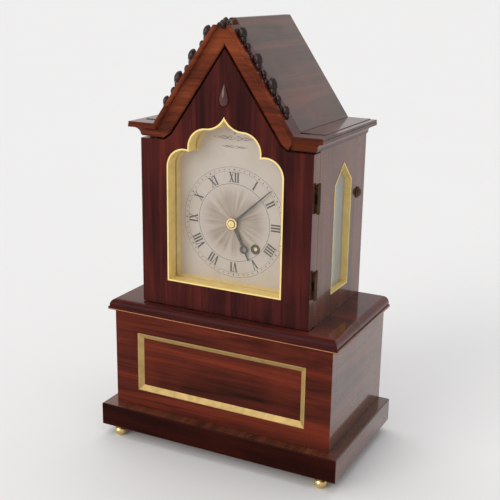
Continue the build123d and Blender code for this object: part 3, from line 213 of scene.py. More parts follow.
def silvered(name, toned, clean, grey, speck):
    """The silvered dial: warm off-white, matt, with faint toning and specks."""
    material, tree, bsdf = new_material(name)
    toning = noise(tree, object_coords(tree, 26), detail=5.0, distortion=0.5)
    specks = noise(tree, object_coords(tree, 1400), detail=2.0, roughness=0.5)
    base = ramp(tree, toning, [(0.30, toned), (0.55, clean), (0.80, grey)])
    grained = mix(tree, spread(tree, specks, 0.55, 0.75, 0.0, 0.25), base, speck)
    tree.links.new(grained, bsdf.inputs["Base Color"])
    bsdf.inputs["Metallic"].default_value = 0.15
    put(tree, bsdf.inputs["Roughness"], spread(tree, toning, 0.3, 0.8, 0.42, 0.58))
    bump(tree, bsdf, specks, 0.1, 0.00004)
    return material


def around(tree, angle, radius, turns, outward):
    """Noise coordinates that change fast round a circle and slowly out from its middle."""
    inputs = {
        "X": math_node(tree, "MULTIPLY", math_node(tree, "SINE", angle), turns),
        "Y": math_node(tree, "MULTIPLY", math_node(tree, "COSINE", angle), turns),
        "Z": math_node(tree, "MULTIPLY", radius, outward),
    }
    return add_node(tree, "ShaderNodeCombineXYZ", inputs).outputs["Vector"]


def sunburst(name, centre, shades, line, middle, rim):
    """The dial's centre, matted in rays that spread from the hands' arbor at (x, z), in metres."""
    dark, mid_tone, light = shades
    material, tree, bsdf = new_material(name)
    coords = add_node(tree, "ShaderNodeTexCoord")
    split = add_node(tree, "ShaderNodeSeparateXYZ", {"Vector": coords.outputs["Object"]})
    x = math_node(tree, "SUBTRACT", split.outputs["X"], centre[0])
    z = math_node(tree, "SUBTRACT", split.outputs["Z"], centre[1])
    angle = math_node(tree, "ARCTAN2", x, z)
    square = math_node(tree, "ADD", math_node(tree, "MULTIPLY", x, x), math_node(tree, "MULTIPLY", z, z))
    radius = math_node(tree, "SQRT", square)
    rays = noise(tree, around(tree, angle, radius, 3.4, 12.0), 1.6, detail=3.0, distortion=0.3)
    fine = noise(tree, around(tree, angle, radius, 38.0, 30.0), detail=2.0, roughness=0.5)
    base = ramp(tree, rays, [(0.32, dark), (0.50, mid_tone), (0.68, light)])
    lined = mix(tree, spread(tree, fine, 0.48, 0.70, 0.0, 0.25), base, line)
    warm = mix(tree, spread(tree, radius, 0.004, 0.020, 0.40, 0.0), lined, middle)
    paler = mix(tree, spread(tree, radius, 0.020, 0.030), warm, rim)
    tree.links.new(paler, bsdf.inputs["Base Color"])
    bsdf.inputs["Metallic"].default_value = 0.25
    bsdf.inputs["Roughness"].default_value = 0.46
    bump(tree, bsdf, fine, 0.15, 0.00004)
    return material


def engraving(name, colour):
    """Black wax in the dial's engraved lines, worn in places."""
    material, tree, bsdf = new_material(name)
    worn = noise(tree, object_coords(tree, 700))
    paler = tuple(min(1.0, 2.4 * c) for c in colour)
    toned = mix(tree, spread(tree, worn, 0.45, 0.75, 0.0, 0.7), colour, paler)
    tree.links.new(toned, bsdf.inputs["Base Color"])
    bsdf.inputs["Roughness"].default_value = 0.6
    return material


def pane(name, colour, alpha, rough):
    """Old window glass, seen through and faintly hazy; the pale colour that the alpha lays over what is
    behind is painted reflection of the pale surround.
    """
    material, tree, bsdf = new_material(name)
    haze = noise(tree, object_coords(tree, 30))
    darker = tuple(0.85 * c for c in colour)
    tree.links.new(mix(tree, haze, colour, darker), bsdf.inputs["Base Color"])
    bsdf.inputs["Alpha"].default_value = alpha
    bsdf.inputs["IOR"].default_value = CLEAR_IOR
    put(tree, bsdf.inputs["Roughness"], spread(tree, haze, 0.3, 0.7, rough, rough + 0.05))
    return material


# Each wood's figure runs from a dark to a light shade, here in linear colour. Front faces take darker, less
# glossy copies of the one rosewood and side faces lighter, glossier ones: painted shade and light for how
# light falls on each facing.
FRONT_SHADES = ((0.019, 0.006, 0.004), (0.084, 0.0155, 0.0095), (0.182, 0.030, 0.014))
PLINTH_SHADES = ((0.009, 0.002, 0.0015), (0.024, 0.0040, 0.0025), (0.062, 0.0090, 0.0045))
DOOR_SHADES = ((0.017, 0.005, 0.005), (0.052, 0.010, 0.009), (0.120, 0.020, 0.014))
SIDE_SHADES = ((0.040, 0.013, 0.007), (0.115, 0.033, 0.016), (0.190, 0.050, 0.022))
TOP_SHADES = ((0.022, 0.007, 0.006), (0.075, 0.015, 0.010), (0.170, 0.032, 0.016))
ROOF_SHADES = ((0.030, 0.015, 0.009), (0.080, 0.028, 0.016), (0.170, 0.042, 0.024))
RAKE_SHADES = ((0.040, 0.008, 0.004), (0.125, 0.023, 0.009), (0.270, 0.062, 0.018))
# The bead's orange is far brighter than the rosewood beside it.
BEAD_SHADES = ((0.28, 0.085, 0.030), (0.55, 0.220, 0.075), (0.75, 0.360, 0.140))
CARVED_SHADES = ((0.008, 0.003, 0.003), (0.024, 0.007, 0.006), (0.050, 0.013, 0.010))
MAHOGANY_SHADES = ((0.060, 0.022, 0.012), (0.120, 0.045, 0.022), (0.190, 0.075, 0.036))
OAK_SHADES = ((0.16, 0.09, 0.045), (0.30, 0.18, 0.095), (0.40, 0.26, 0.14))
RAY_SHADES = ((0.30, 0.230, 0.180), (0.395, 0.325, 0.262), (0.51, 0.445, 0.378))

WOOD_FRONT = rosewood("rosewood_front", "x", FRONT_SHADES, 0.3, coat=0.06, level=0.02)
WOOD_PANEL = rosewood("rosewood_panel", "x", FRONT_SHADES, 4.1, coat=0.06, tilt=0.03, level=0.02)
WOOD_PLINTH = rosewood("rosewood_plinth", "x", PLINTH_SHADES, 2.2, coat=0.04, level=0.02)
WOOD_PLATE = rosewood("rosewood_plate", "x", DOOR_SHADES, 0.8, coat=0.06, level=0.02)
WOOD_DOOR = rosewood("rosewood_door", "z", DOOR_SHADES, 1.4, coat=0.07, tilt=0.05, level=0.02)
WOOD_SIDE = rosewood("rosewood_side", "z", SIDE_SHADES, 5.3, coat=0.5, tilt=0.04)
WOOD_BASE_SIDE = rosewood("rosewood_base_side", "y", SIDE_SHADES, 6.7, coat=0.85)
WOOD_ROOF = rosewood("rosewood_roof", "y", ROOF_SHADES, 8.9, coat=0.68, gloss=0.3)
WOOD_RAKE = rosewood("rosewood_rake", "x", RAKE_SHADES, 3.6, coat=0.12, level=0.03)
WOOD_CARVED = rosewood("rosewood_carved", "z", CARVED_SHADES, 7.7, coat=0.3, gloss=0.34)
WOOD_TOP = rosewood("rosewood_top", "x", TOP_SHADES, 9.4, coat=0.5, gloss=0.12, level=0.05)
WOOD_BOSS = rosewood("rosewood_boss", "z", DOOR_SHADES, 2.9, coat=0.8)
WOOD_BEAD = rosewood("rosewood_bead", "x", BEAD_SHADES, 1.1, coat=0.5)
MAHOGANY = plain_wood("mahogany_back", "z", MAHOGANY_SHADES, 0.42)
OAK = plain_wood("oak_inner", "x", OAK_SHADES, 0.6)
SLIP_BRASS = brass("brass_slip", (0.96, 0.74, 0.29), (0.70, 0.48, 0.16), 0.38, metal=0.35)
PANEL_BRASS = brass(
    "brass_panel_slip", (0.50, 0.34, 0.125), (0.30, 0.19, 0.065), 0.42, stain=0.6, metal=0.5
)
OLD_BRASS = brass("brass_hinge", (0.105, 0.060, 0.034), (0.040, 0.022, 0.016), 0.42, stain=0.8)
WORKS_BRASS = brass("brass_works", (0.82, 0.62, 0.30), (0.62, 0.43, 0.19), 0.24, "z", stain=0.35)
FOOT_BRASS = brass("brass_foot", (0.80, 0.60, 0.27), (0.45, 0.30, 0.12), 0.22, stain=0.7)
# Near-black brass, painted shade: the winding hole's shadow on its bush and the shade in the collet's
# groove.
PAINTED_SHADE_BRASS = brass("brass_bush", (0.11, 0.085, 0.060), (0.045, 0.035, 0.028), 0.45, stain=0.7)
STEEL = steel("steel_works", (0.50, 0.50, 0.52), 0.26)
BLUED = steel("steel_blued", (0.11, 0.095, 0.085), 0.38)
SILVER = silvered(
    "silvered_dial", (0.46, 0.395, 0.335), (0.53, 0.465, 0.415), (0.50, 0.445, 0.400), (0.46, 0.40, 0.32)
)
INK = engraving("engraving_wax", (0.040, 0.034, 0.028))
FAINT_INK = engraving("engraving_fine", (0.16, 0.13, 0.10))
DOOR_PANE = pane("glass_door", (0.75, 0.76, 0.74), 0.05, 0.05)
# The side panes' grey veil, mostly opaque, is painted reflection of the pale surround.
SIDE_PANE_PAINTED_REFLECTION = pane("glass_side", (0.50, 0.52, 0.51), 0.72, 0.10)
REAR_PANE = pane("glass_rear", (0.75, 0.76, 0.74), 0.10, 0.05)

# ---------------------------------------------------------------- finishes of the CAD nodes
WHOLE_NODES = {
    WOOD_PANEL: ("pedestal_panel",),
    WOOD_TOP: ("top_board", "side_cornices"),
    WOOD_SIDE: ("case_sides",),
    WOOD_BASE_SIDE: ("pedestal_sides",),
    WOOD_ROOF: ("roof_boards",),
    WOOD_CARVED: ("crockets", "finial", "door_boss"),
    MAHOGANY: ("pedestal_back", "rear_frame", "rear_gable", "rear_door_frame"),
    OAK: ("seat_board",),
    PANEL_BRASS: ("pedestal_slip",),
    SLIP_BRASS: ("window_slips", "dial_surround", "door_slip", "hand_collet"),
    FOOT_BRASS: ("feet",),
    PAINTED_SHADE_BRASS: ("winding_bush",),
    OLD_BRASS: ("door_hinge_leaves", "case_hinge_leaves", "bolt_cap"),
    WORKS_BRASS: (
        "front_plate",
        "back_plate",
        "pillars",
        "great_wheel",
        "fusee",
        "barrel",
        "minute_wheel",
        "hour_wheel",
        "third_wheel",
        "escape_wheel",
        "back_cock",
        "pendulum_bob",
        "rating_nut",
        "rear_latch",
        "cannon_pinion",
        "centre_arbor",
    ),
    STEEL: (
        "seat_bolts",
        "barrel_arbor",
        "mainspring",
        "fusee_chain",
        "anchor",
        "suspension_spring",
        "pendulum_rod",
        "door_catch",
    ),
    BLUED: ("minute_hand", "hour_hand"),
    SILVER: ("dial_plate",),
    DOOR_PANE: ("door_glass",),
    SIDE_PANE_PAINTED_REFLECTION: ("window_glasses",),
    REAR_PANE: ("rear_door_glass",),
}
# Each node's front faces take a darker copy of its wood than its other faces: painted shade on the fronts.
FACE_SHADED_NODES = (
    ("plinth", WOOD_PLINTH, WOOD_BASE_SIDE),
    ("pedestal_front", WOOD_FRONT, WOOD_BASE_SIDE),
    ("pedestal_top", WOOD_PLATE, WOOD_TOP),
    ("door_frame", WOOD_DOOR, WOOD_SIDE),
    ("front_frame", WOOD_DOOR, WOOD_SIDE),
    ("pediment_moulding", WOOD_RAKE, WOOD_TOP),
)
FACES_FRONT = -0.35
ARRIS_WIDTHS = (
    ("plinth", 0.5),
    ("pedestal_top", 0.2),
    ("pedestal_panel", 0.2),
    ("roof_boards", 0.35),
    ("top_board", 0.3),
    ("case_sides", 0.25),
    ("pedestal_front", 0.3),
    ("pedestal_sides", 0.25),
    ("bolt_cap", 0.15),
)
ARRIS_ANGLE = 28


def finish_whole(node_name, material):
    """Give a CAD node one material all over."""
    slots = NODES[node_name].data.materials
    slots.clear()
    slots.append(material)


def shade_by_facing(node_name, front, rest):
    """Give a CAD node's front faces one copy of its wood and all its other faces another, the front copy
    darker as painted shade.
    """
    mesh = NODES[node_name].data
    mesh.materials.clear()
    mesh.materials.append(front)
    mesh.materials.append(rest)
    for polygon in mesh.polygons:
        polygon.material_index = 0 if polygon.normal.y < FACES_FRONT else 1


def soften(node_name, width):
    """Round the arrises of a CAD node a little, as hand-finished edges are."""
    piece = NODES[node_name]
    weld = piece.modifiers.new("weld", "WELD")
    weld.merge_threshold = 1e-6
    arris = piece.modifiers.new("arris", "BEVEL")
    arris.width = width * MM
    arris.segments = 2
    arris.limit_method = "ANGLE"
    arris.angle_limit = math.radians(ARRIS_ANGLE)
    piece.modifiers.new("normals", "WEIGHTED_NORMAL")


for material, names in WHOLE_NODES.items():
    for node_name in names:
        finish_whole(node_name, material)
for node_name, front, rest in FACE_SHADED_NODES:
    shade_by_facing(node_name, front, rest)
for node_name, width in ARRIS_WIDTHS:
    soften(node_name, width)

# ---------------------------------------------------------------- mesh helpers
# Points are in millimetres until they are put in a mesh.
RING_STEPS = 96
FINE_STEPS = 48


def place(name, mesh, material, body):
    """Link a mesh as a piece that rides on a body, with its material."""
    mesh.materials.append(material)
    made = bpy.data.objects.new(name, mesh)
    bpy.context.scene.collection.objects.link(made)
    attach(made, body)
    return made


def to_mesh(name, work):
    """Turn finished bmesh work into a mesh."""
    mesh = bpy.data.meshes.new(name)
    work.to_mesh(mesh)
    work.free()
    return mesh


def piece_from(name, verts, faces, material, body, smooth=False):
    """A mesh piece from its vertices and faces."""
    mesh = bpy.data.meshes.new(name)
    mesh.from_pydata([Vector(v) * MM for v in verts], [], faces)
    mesh.validate()
    work = bmesh.new()
    work.from_mesh(mesh)
    bmesh.ops.recalc_face_normals(work, faces=work.faces)
    work.to_mesh(mesh)
    work.free()
    for polygon in mesh.polygons:
        polygon.use_smooth = smooth
    return place(name, mesh, material, body)


def on_circle(centre, radius, steps):
    """Points (x, z) evenly spaced round a circle."""
    turns = [2 * math.pi * k / steps for k in range(steps)]
    return [(centre[0] + radius * math.cos(a), centre[1] + radius * math.sin(a)) for a in turns]


def add_prism(verts, faces, outline, y_front, y_back):
    """Add a closed prism whose outline, in (x, z), is drawn at two depths."""
    start = len(verts)
    count = len(outline)
    verts += [(x, y_front, z) for x, z in outline]
    verts += [(x, y_back, z) for x, z in outline]
    faces.append([start + i for i in range(count)])
    faces.append([start + count + i for i in reversed(range(count))])
    for i in range(count):
        j = (i + 1) % count
        faces.append([start + i, start + count + i, start + count + j, start + j])


def add_ring(verts, faces, centre, inner, outer, y_front, y_back, steps):
    """Add a flat closed ring in the dial's plane."""
    start = len(verts)
    for radius, y in ((inner, y_front), (outer, y_front), (outer, y_back), (inner, y_back)):
        verts += [(x, y, z) for x, z in on_circle(centre, radius, steps)]
    for band in range(4):
        here = start + band * steps
        there = start + (band + 1) % 4 * steps
        for i in range(steps):
            j = (i + 1) % steps
            faces.append([here + i, here + j, there + j, there + i])


def add_ribbon(verts, faces, points, width, y_front, y_back):
    """Add a line of a given width, tapering at both ends, as a run of small prisms."""
    left, right = [], []
    last = len(points) - 1
    for i, (x, z) in enumerate(points):
        ax, az = points[max(i - 1, 0)]
        bx, bz = points[min(i + 1, last)]
        length = math.hypot(bx - ax, bz - az)
        taper = math.sin(math.pi * min(max(i / last, 0.04), 0.96))
        half = width / 2 * (0.25 + 0.75 * taper)
        nx, nz = -(bz - az) / length * half, (bx - ax) / length * half
        left.append((x + nx, z + nz))
        right.append((x - nx, z - nz))
    for i in range(last):
        add_prism(verts, faces, [left[i], left[i + 1], right[i + 1], right[i]], y_front, y_back)


def middle_of(node_name):
    """The middle of a CAD node's box, as (x, z) in millimetres."""
    low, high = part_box(node_name)
    return ((low.x + high.x) / 2 / MM, (low.z + high.z) / 2 / MM)


# ---------------------------------------------------------------- dial engraving
CENTRE = middle_of("hand_collet")
HOLE = middle_of("winding_bush")
DIAL_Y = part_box("dial_plate")[0].y / MM
CUT_Y = DIAL_Y - 0.05
RING_IN = 30.5
# Each engraved ring's inner and outer radius.
RINGS = ((RING_IN, RING_IN + 0.45), (40.35, 40.55), (43.6, 43.9))
DOT_TRACK = 41.9
DOT_R = 0.46
HOUR_DOT_R = 0.62
DOT_SIDES = 8

NUMERALS = ("XII", "I", "II", "III", "IIII", "V", "VI", "VII", "VIII", "IX", "X", "XI")
NUMERAL_R = 31.9
NUMERAL_H = 7.7
GLYPH_W = {"I": 1.9, "V": 4.1, "X": 4.1}
GLYPH_GAP = 0.35
THICK = 1.25
THIN = 0.50
THICK_INSET = 0.7
THIN_INSET = 0.5
V_POINT_SHIFT = 0.1
SERIF_HALF = 1.0
SERIF_UP = 0.05


def glyph_strokes(glyph, left):
    """Strokes of one numeral letter, each as four corners in (across, up) with up from 0 to 1."""
    right = left + GLYPH_W[glyph]
    mid = left + GLYPH_W[glyph] / 2
    thick_x, thin_x = left + THICK_INSET, right - THIN_INSET
    strokes = []

    def stroke(x_foot, x_head, thickness):
        half = thickness / 2
        foot = [(x_foot - half, 0.0), (x_foot + half, 0.0)]
        strokes.append(foot + [(x_head + half, 1.0), (x_head - half, 1.0)])

    def serif(x, up):
        foot = [(x - SERIF_HALF, up), (x + SERIF_HALF, up)]
        strokes.append(foot + [(x + SERIF_HALF, up + SERIF_UP), (x - SERIF_HALF, up + SERIF_UP)])

    if glyph == "I":
        stroke(mid, mid, THICK)
        serif(mid, 0.0)
        serif(mid, 1 - SERIF_UP)
    elif glyph == "V":
        point = mid + V_POINT_SHIFT
        stroke(point, thick_x, THICK)
        stroke(point, thin_x, THIN)
        serif(thick_x, 1 - SERIF_UP)
        serif(thin_x, 1 - SERIF_UP)
    else:
        stroke(right - THICK_INSET, thick_x, THICK)
        stroke(left + THIN_INSET, thin_x, THIN)
        for up in (0.0, 1 - SERIF_UP):
            serif(thick_x, up)
            serif(right - (THICK_INSET + THIN_INSET) / 2, up)
    return strokes


def turned(across, along, angle):
    """A point at a distance along a ray, clockwise from twelve, and across it to the right."""
    c, s = math.cos(angle), math.sin(angle)
    return (CENTRE[0] + along * s + across * c, CENTRE[1] + along * c - across * s)


def engrave_numerals():
    """The Roman hours, feet towards the centre."""
    verts, faces = [], []
    for hour, text in enumerate(NUMERALS):
        angle = math.radians(30 * hour)
        widths = [GLYPH_W[glyph] + GLYPH_GAP for glyph in text]
        left = -sum(widths) / 2
        for glyph, width in zip(text, widths):
            for corners in glyph_strokes(glyph, left):
                outline = [turned(u, NUMERAL_R + NUMERAL_H * v, angle) for u, v in corners]
                add_prism(verts, faces, outline, CUT_Y, DIAL_Y)
            left += width
    piece_from("dial_numerals", verts, faces, INK, "case")


def engrave_minutes():
    """A dot for each minute, larger on the hours."""
    verts, faces = [], []
    for minute in range(60):
        angle = math.radians(6 * minute)
        radius = HOUR_DOT_R if minute % 5 == 0 else DOT_R
        dot = [turned(u, v, angle) for u, v in on_circle((0, DOT_TRACK), radius, DOT_SIDES)]
        add_prism(verts, faces, dot, CUT_Y, DIAL_Y)
    piece_from("dial_minute_dots", verts, faces, INK, "case")


def engrave_rings():
    """The rings that bound the chapters and the minutes."""
    verts, faces = [], []
    for inner, outer in RINGS:
        add_ring(verts, faces, CENTRE, inner, outer, CUT_Y, DIAL_Y, RING_STEPS)
    piece_from("dial_rings", verts, faces, FAINT_INK, "case")


engrave_numerals()
engrave_minutes()
engrave_rings()

# ---------------------------------------------------------------- matted centre with its rays
RAYS_OUT = RING_IN - 0.1
RAYS_IN = 3.3
HOLE_CLEAR = 3.9
RAYS_PROUD = 0.03


def circle_edges(work, centre, radius, steps):
    """Add a closed loop of edges in the dial's face."""
    loop = [work.verts.new(Vector((x, DIAL_Y, z))) for x, z in on_circle(centre, radius, steps)]
    return [work.edges.new((loop[k], loop[(k + 1) % steps])) for k in range(steps)]


def lay_rays():
    """A thin disc inside the chapter ring, open at the collet and at the winding hole."""
    work = bmesh.new()
    edges = circle_edges(work, CENTRE, RAYS_OUT, RING_STEPS)
    edges += circle_edges(work, CENTRE, RAYS_IN, FINE_STEPS)
    edges += circle_edges(work, HOLE, HOLE_CLEAR, FINE_STEPS)
    bmesh.ops.triangle_fill(work, edges=edges, use_beauty=True)
    grown = bmesh.ops.extrude_face_region(work, geom=work.faces[:])
    for item in grown["geom"]:
        if isinstance(item, bmesh.types.BMVert):
            item.co.y -= RAYS_PROUD
    work.verts.index_update()
    verts = [tuple(vert.co) for vert in work.verts]
    faces = [[vert.index for vert in face.verts] for face in work.faces]
    work.free()
    finish = sunburst(
        "dial_sunburst",
        (CENTRE[0] * MM, CENTRE[1] * MM),
        RAY_SHADES,
        line=(0.38, 0.31, 0.23),
        middle=(0.29, 0.21, 0.13),
        rim=(0.515, 0.450, 0.400),
    )
    piece_from("dial_centre_rays", verts, faces, finish, "case")


lay_rays()

# ---------------------------------------------------------------- ornament in the signature's place
# Each braid's height over the centre, its reach to each side, its swell and its line's width.
BRAIDS = ((65.8, 15.5, 1.7, 0.62), (59.2, 10.5, 0.9, 0.55))
# Each leaf's distance from the middle, half width and half height.
LEAVES = ((3.1, 0.9, 0.55), (9.4, 0.8, 0.45), (17.0, 0.9, 0.5))
LEAVES_UP = BRAIDS[0][0]
TOP_LEAF_UP = 69.4
TOP_LEAF = (0.7, 1.4)
BRAID_STEPS = 30


def braid(sign, z, reach, swell):
    """One strand of a braid, from the middle out to one side."""
    points = []
    for i in range(BRAID_STEPS + 1):
        t = i / BRAID_STEPS
        points.append((sign * reach * t, z + swell * (1 - 0.6 * t) * math.sin(2.5 * math.pi * t)))
    return points


def add_leaf(verts, faces, x, z, half_w, half_h):
    """Add a lozenge leaf."""
    outline = [(x - half_w, z), (x, z - half_h), (x + half_w, z), (x, z + half_h)]
    add_prism(verts, faces, outline, CUT_Y, DIAL_Y)


def engrave_flourish():
    """Two braids of no meaning, the upper one with leaves."""
    verts, faces = [], []
    for sign in (-1, 1):
        for up, reach, swell, width in BRAIDS:
            for strand in (-swell, swell):
                points = braid(sign, CENTRE[1] + up, reach, strand)
                add_ribbon(verts, faces, points, width, CUT_Y, DIAL_Y)
        for away, half_w, half_h in LEAVES:
            add_leaf(verts, faces, sign * away, CENTRE[1] + LEAVES_UP, half_w, half_h)
    add_leaf(verts, faces, 0, CENTRE[1] + TOP_LEAF_UP, *TOP_LEAF)
    piece_from("dial_flourish", verts, faces, FAINT_INK, "case")


engrave_flourish()

# ---------------------------------------------------------------- painted shade in the winding hole and the collet's groove
COLLET_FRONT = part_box("hand_collet")[0].y / MM
# The rings' inner and outer radii, and how far behind a face each starts and ends.
SHADE_RADII = (1.5, 3.05)
SHADE_DEPTHS = (0.10, 0.60)
GROOVE_RADII = (2.7, 3.3)
GROOVE_DEPTHS = (0.55, 0.85)

# A near-black ring inside the winding hole, in the engraving's black, is painted shadow of the hole.
verts, faces = [], []
add_ring(verts, faces, HOLE, *SHADE_RADII, *[DIAL_Y + depth for depth in SHADE_DEPTHS], FINE_STEPS)
piece_from("winding_hole_shade", verts, faces, INK, "case")

# A dark ring in the collet's groove is painted shade of the groove.
verts, faces = [], []
add_ring(verts, faces, CENTRE, *GROOVE_RADII, *[COLLET_FRONT + depth for depth in GROOVE_DEPTHS], FINE_STEPS)
piece_from("collet_groove_shade", verts, faces, PAINTED_SHADE_BRASS, "minute_works")

# ---------------------------------------------------------------- carved crockets and finial
ROOF_SLOPE = 1.457
ROOF_APEX = 347.1
RAKE_PROUD = 1.3
CROCKET_Y = -44.9
UP = Vector((-1, 0, ROOF_SLOPE)).normalized()
OUT = Vector((ROOF_SLOPE, 0, 1)).normalized()

LOBES = 6
LOBE_DEPTH = 0.10
KNOB_LENGTH = 0.95
KNOB_FLARE = 0.35
KNOB_CURL = 0.42

# Height and size of each crocket on a rake.
CROCKETS = (
    (331.0, 3.3),
    (322.8, 1.9),
    (313.2, 3.5),
    (304.5, 2.0),
    (296.3, 3.7),
    (287.5, 2.1),
    (279.3, 2.7),
)
# A crocket's knobs: how far out and up the slope, how large and how high, in crocket sizes.
CROCKET_KNOBS = ((0.85, 0.0, 1.18, 0.9), (0.25, -1.05, 0.95, 0.95), (0.0, 1.05, 0.62, 0.9))
# The stem below the crockets is a row of small knobs.
STEM_START = 275.5
STEM_STEP = 1.75
STEM_KNOBS = 34
STEM_UP = 0.3
# Place and size of each of the finial's knobs.
FINIAL = (
    ((0, -44.0, 339.9), 3.3),
    ((-2.4, -45.0, 339.2), 2.4),
    ((2.4, -44.6, 339.2), 2.4),
    ((-4.6, -45.6, 337.6), 2.3),
    ((4.6, -45.6, 337.6), 2.3),
    ((0, -47.6, 338.6), 2.4),
)


def add_knob(work, origin, size, rise, sign):
    """One carved knob that stands out from the rake and curls up the slope, notched like a leaf."""
    made = bmesh.ops.create_icosphere(work, subdivisions=3, radius=1.0)
    for vert in made["verts"]:
        p = vert.co.copy()
        tip = max(p.x, 0)
        lobes = 1 + LOBE_DEPTH * math.sin(LOBES * math.atan2(p.y, p.z))
        out = p.x * rise * size
        along = p.z * size * (KNOB_LENGTH + KNOB_FLARE * tip) * lobes + KNOB_CURL * size * tip
        across = p.y * size * KNOB_LENGTH * lobes
        at = origin + OUT * out + UP * along + Vector((0, across, 0))
        vert.co = Vector((sign * at.x, at.y, at.z)) * MM


def carved(name, knobs, replaced):
    """Join carved knobs into one piece that stands for a CAD node."""
    work = bmesh.new()
    for origin, size, rise, sign in knobs:
        add_knob(work, origin, size, rise, sign)
    mesh = to_mesh(name, work)
    for polygon in mesh.polygons:
        polygon.use_smooth = True
    made = place(name, mesh, WOOD_CARVED, "case")
    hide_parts(replaced)


def on_rake(z):
    """The point of the right rake's upper edge at a height."""
    return Vector(((ROOF_APEX - z) / ROOF_SLOPE, CROCKET_Y, z)) + OUT * RAKE_PROUD


knobs = []
for sign in (-1, 1):
    for z, size in CROCKETS:
        for out, up, scale, rise in CROCKET_KNOBS:
            knobs.append((on_rake(z) + OUT * out * size + UP * up * size, size * scale, rise, sign))
    for step in range(STEM_KNOBS):
        seat = on_rake(STEM_START + STEM_STEP * step) + OUT * STEM_UP
        knobs.append((seat, 1.35 + 0.25 * math.sin(2.1 * step), 0.9, sign))
carved("crocket_leaves", knobs, "crockets")
carved("finial_bud", [(Vector(at), size, 1.0, 1) for at, size in FINIAL], "finial")

# ---------------------------------------------------------------- teardrop boss on the tympanum
BOSS_ROWS = 25
BOSS_SIDES = 32
BOSS_FLATTENED = 0.8
BOSS_FIT = 0.98
BOSS_BELLY = 0.62
BOSS_FULLNESS = 0.85
BOSS_TIP = 0.05
BOSS_BACK_AREA = 1e-5


def boss_profile(radius, low, high):
    """Radii and heights of a drop that is full below and drawn out above."""
    profile = []
    for k in range(BOSS_ROWS):
        t = k / (BOSS_ROWS - 1)
        swell = math.sin(math.pi * t**BOSS_BELLY) ** BOSS_FULLNESS
        profile.append((max(BOSS_TIP, radius * swell), low + (high - low) * t))
    return profile


def add_turned(work, profile, y_middle):
    """Add a solid turned about an upright axis from (radius, z) and flattened from front to back."""
    rows = []
    for radius, z in profile:
        ring = on_circle((0, 0), radius, BOSS_SIDES)
        rows.append([work.verts.new(Vector((x, y_middle + y * BOSS_FLATTENED, z)) * MM) for x, y in ring])
    for lower, upper in zip(rows, rows[1:]):
        for k in range(BOSS_SIDES):
            n = (k + 1) % BOSS_SIDES
            work.faces.new((lower[k], lower[n], upper[n], upper[k]))
    work.faces.new(list(reversed(rows[0])))
    work.faces.new(rows[-1])


def carve_boss():
    """The drop, cut flat where it meets the door."""
    low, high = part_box("door_boss")
    radius = (high.x - low.x) / 2 / MM
    work = bmesh.new()
    add_turned(work, boss_profile(radius * BOSS_FIT, low.z / MM, high.z / MM), high.y / MM)
    bmesh.ops.bisect_plane(
        work,
        geom=work.verts[:] + work.edges[:] + work.faces[:],
        plane_co=(0, high.y, 0),
        plane_no=(0, 1, 0),
        clear_outer=True,
    )
    rim = [edge for edge in work.edges if edge.is_boundary]
    bmesh.ops.edgeloop_fill(work, edges=rim)
    bmesh.ops.recalc_face_normals(work, faces=work.faces)
    mesh = to_mesh("tympanum_drop", work)
    for polygon in mesh.polygons:
        polygon.use_smooth = polygon.area < BOSS_BACK_AREA
    boss = place("tympanum_drop", mesh, WOOD_BOSS, "front_door")
    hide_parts("door_boss")


carve_boss()

# ---------------------------------------------------------------- bead along the pedestal plate's lower edge
BEAD_R = 0.5
BEAD_PROUD = 0.1
BEAD_UP = 0.1
BEAD_SHORT = 1.0
BEAD_SIDES = 10


def run_bead():
    """A round bead along the plate's left, front and right edges, mitred at the corners."""
    low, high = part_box("pedestal_top")
    z = low.z / MM + BEAD_R + BEAD_UP
    side = high.x / MM - BEAD_R + BEAD_PROUD
    front = low.y / MM + BEAD_R - BEAD_PROUD
    back = high.y / MM - BEAD_SHORT
    route = [(-side, back, -1, 0), (-side, front, -1, -1), (side, front, 1, -1), (side, back, 1, 0)]
    verts, faces = [], []
    for x, y, out_x, out_y in route:
        for out, up in on_circle((0, 0), BEAD_R, BEAD_SIDES):
            verts.append((x + out_x * out, y + out_y * out, z + up))
    for i in range(len(route) - 1):
        here, there = i * BEAD_SIDES, (i + 1) * BEAD_SIDES
        for k in range(BEAD_SIDES):
            n = (k + 1) % BEAD_SIDES
            faces.append([here + k, here + n, there + n, there + k])
    faces.append(list(range(BEAD_SIDES)))
    faces.append([3 * BEAD_SIDES + k for k in reversed(range(BEAD_SIDES))])
    piece_from("pedestal_bead", verts, faces, WOOD_BEAD, "case", smooth=True)


run_bead()

# ---------------------------------------------------------------- screws in the door's hinge leaves
LEAF_H = 20.6
SCREW_UP = (3.6, 10.3, 17.0)
SCREW_IN = 2.1
SCREW_R = (1.15, 0.95)
SCREW_T = 0.3
SCREW_PROUD = 0.1


def drive_screws():
    """Three heads in each of the two leaves, on the door's edge."""
    low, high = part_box("door_hinge_leaves")
    face_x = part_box("door_frame")[1].x / MM
    turn = Matrix.Rotation(math.radians(90), 4, "Y")
    work = bmesh.new()
    for leaf_foot in (low.z / MM, high.z / MM - LEAF_H):
        for up in SCREW_UP:
            head = bmesh.ops.create_cone(
                work,
                cap_ends=True,
                segments=20,
                radius1=SCREW_R[0] * MM,
                radius2=SCREW_R[1] * MM,
                depth=SCREW_T * MM,
            )
            at = Vector((face_x + SCREW_PROUD, low.y / MM + SCREW_IN, leaf_foot + up)) * MM
            bmesh.ops.transform(work, matrix=Matrix.Translation(at) @ turn, verts=head["verts"])
    place("door_hinge_screws", to_mesh("door_hinge_screws", work), OLD_BRASS, "front_door")


drive_screws()

# ---------------------------------------------------------------- floor, light and camera
FLOOR_REACH = 30.0
PAPER = (0.80, 0.80, 0.805)


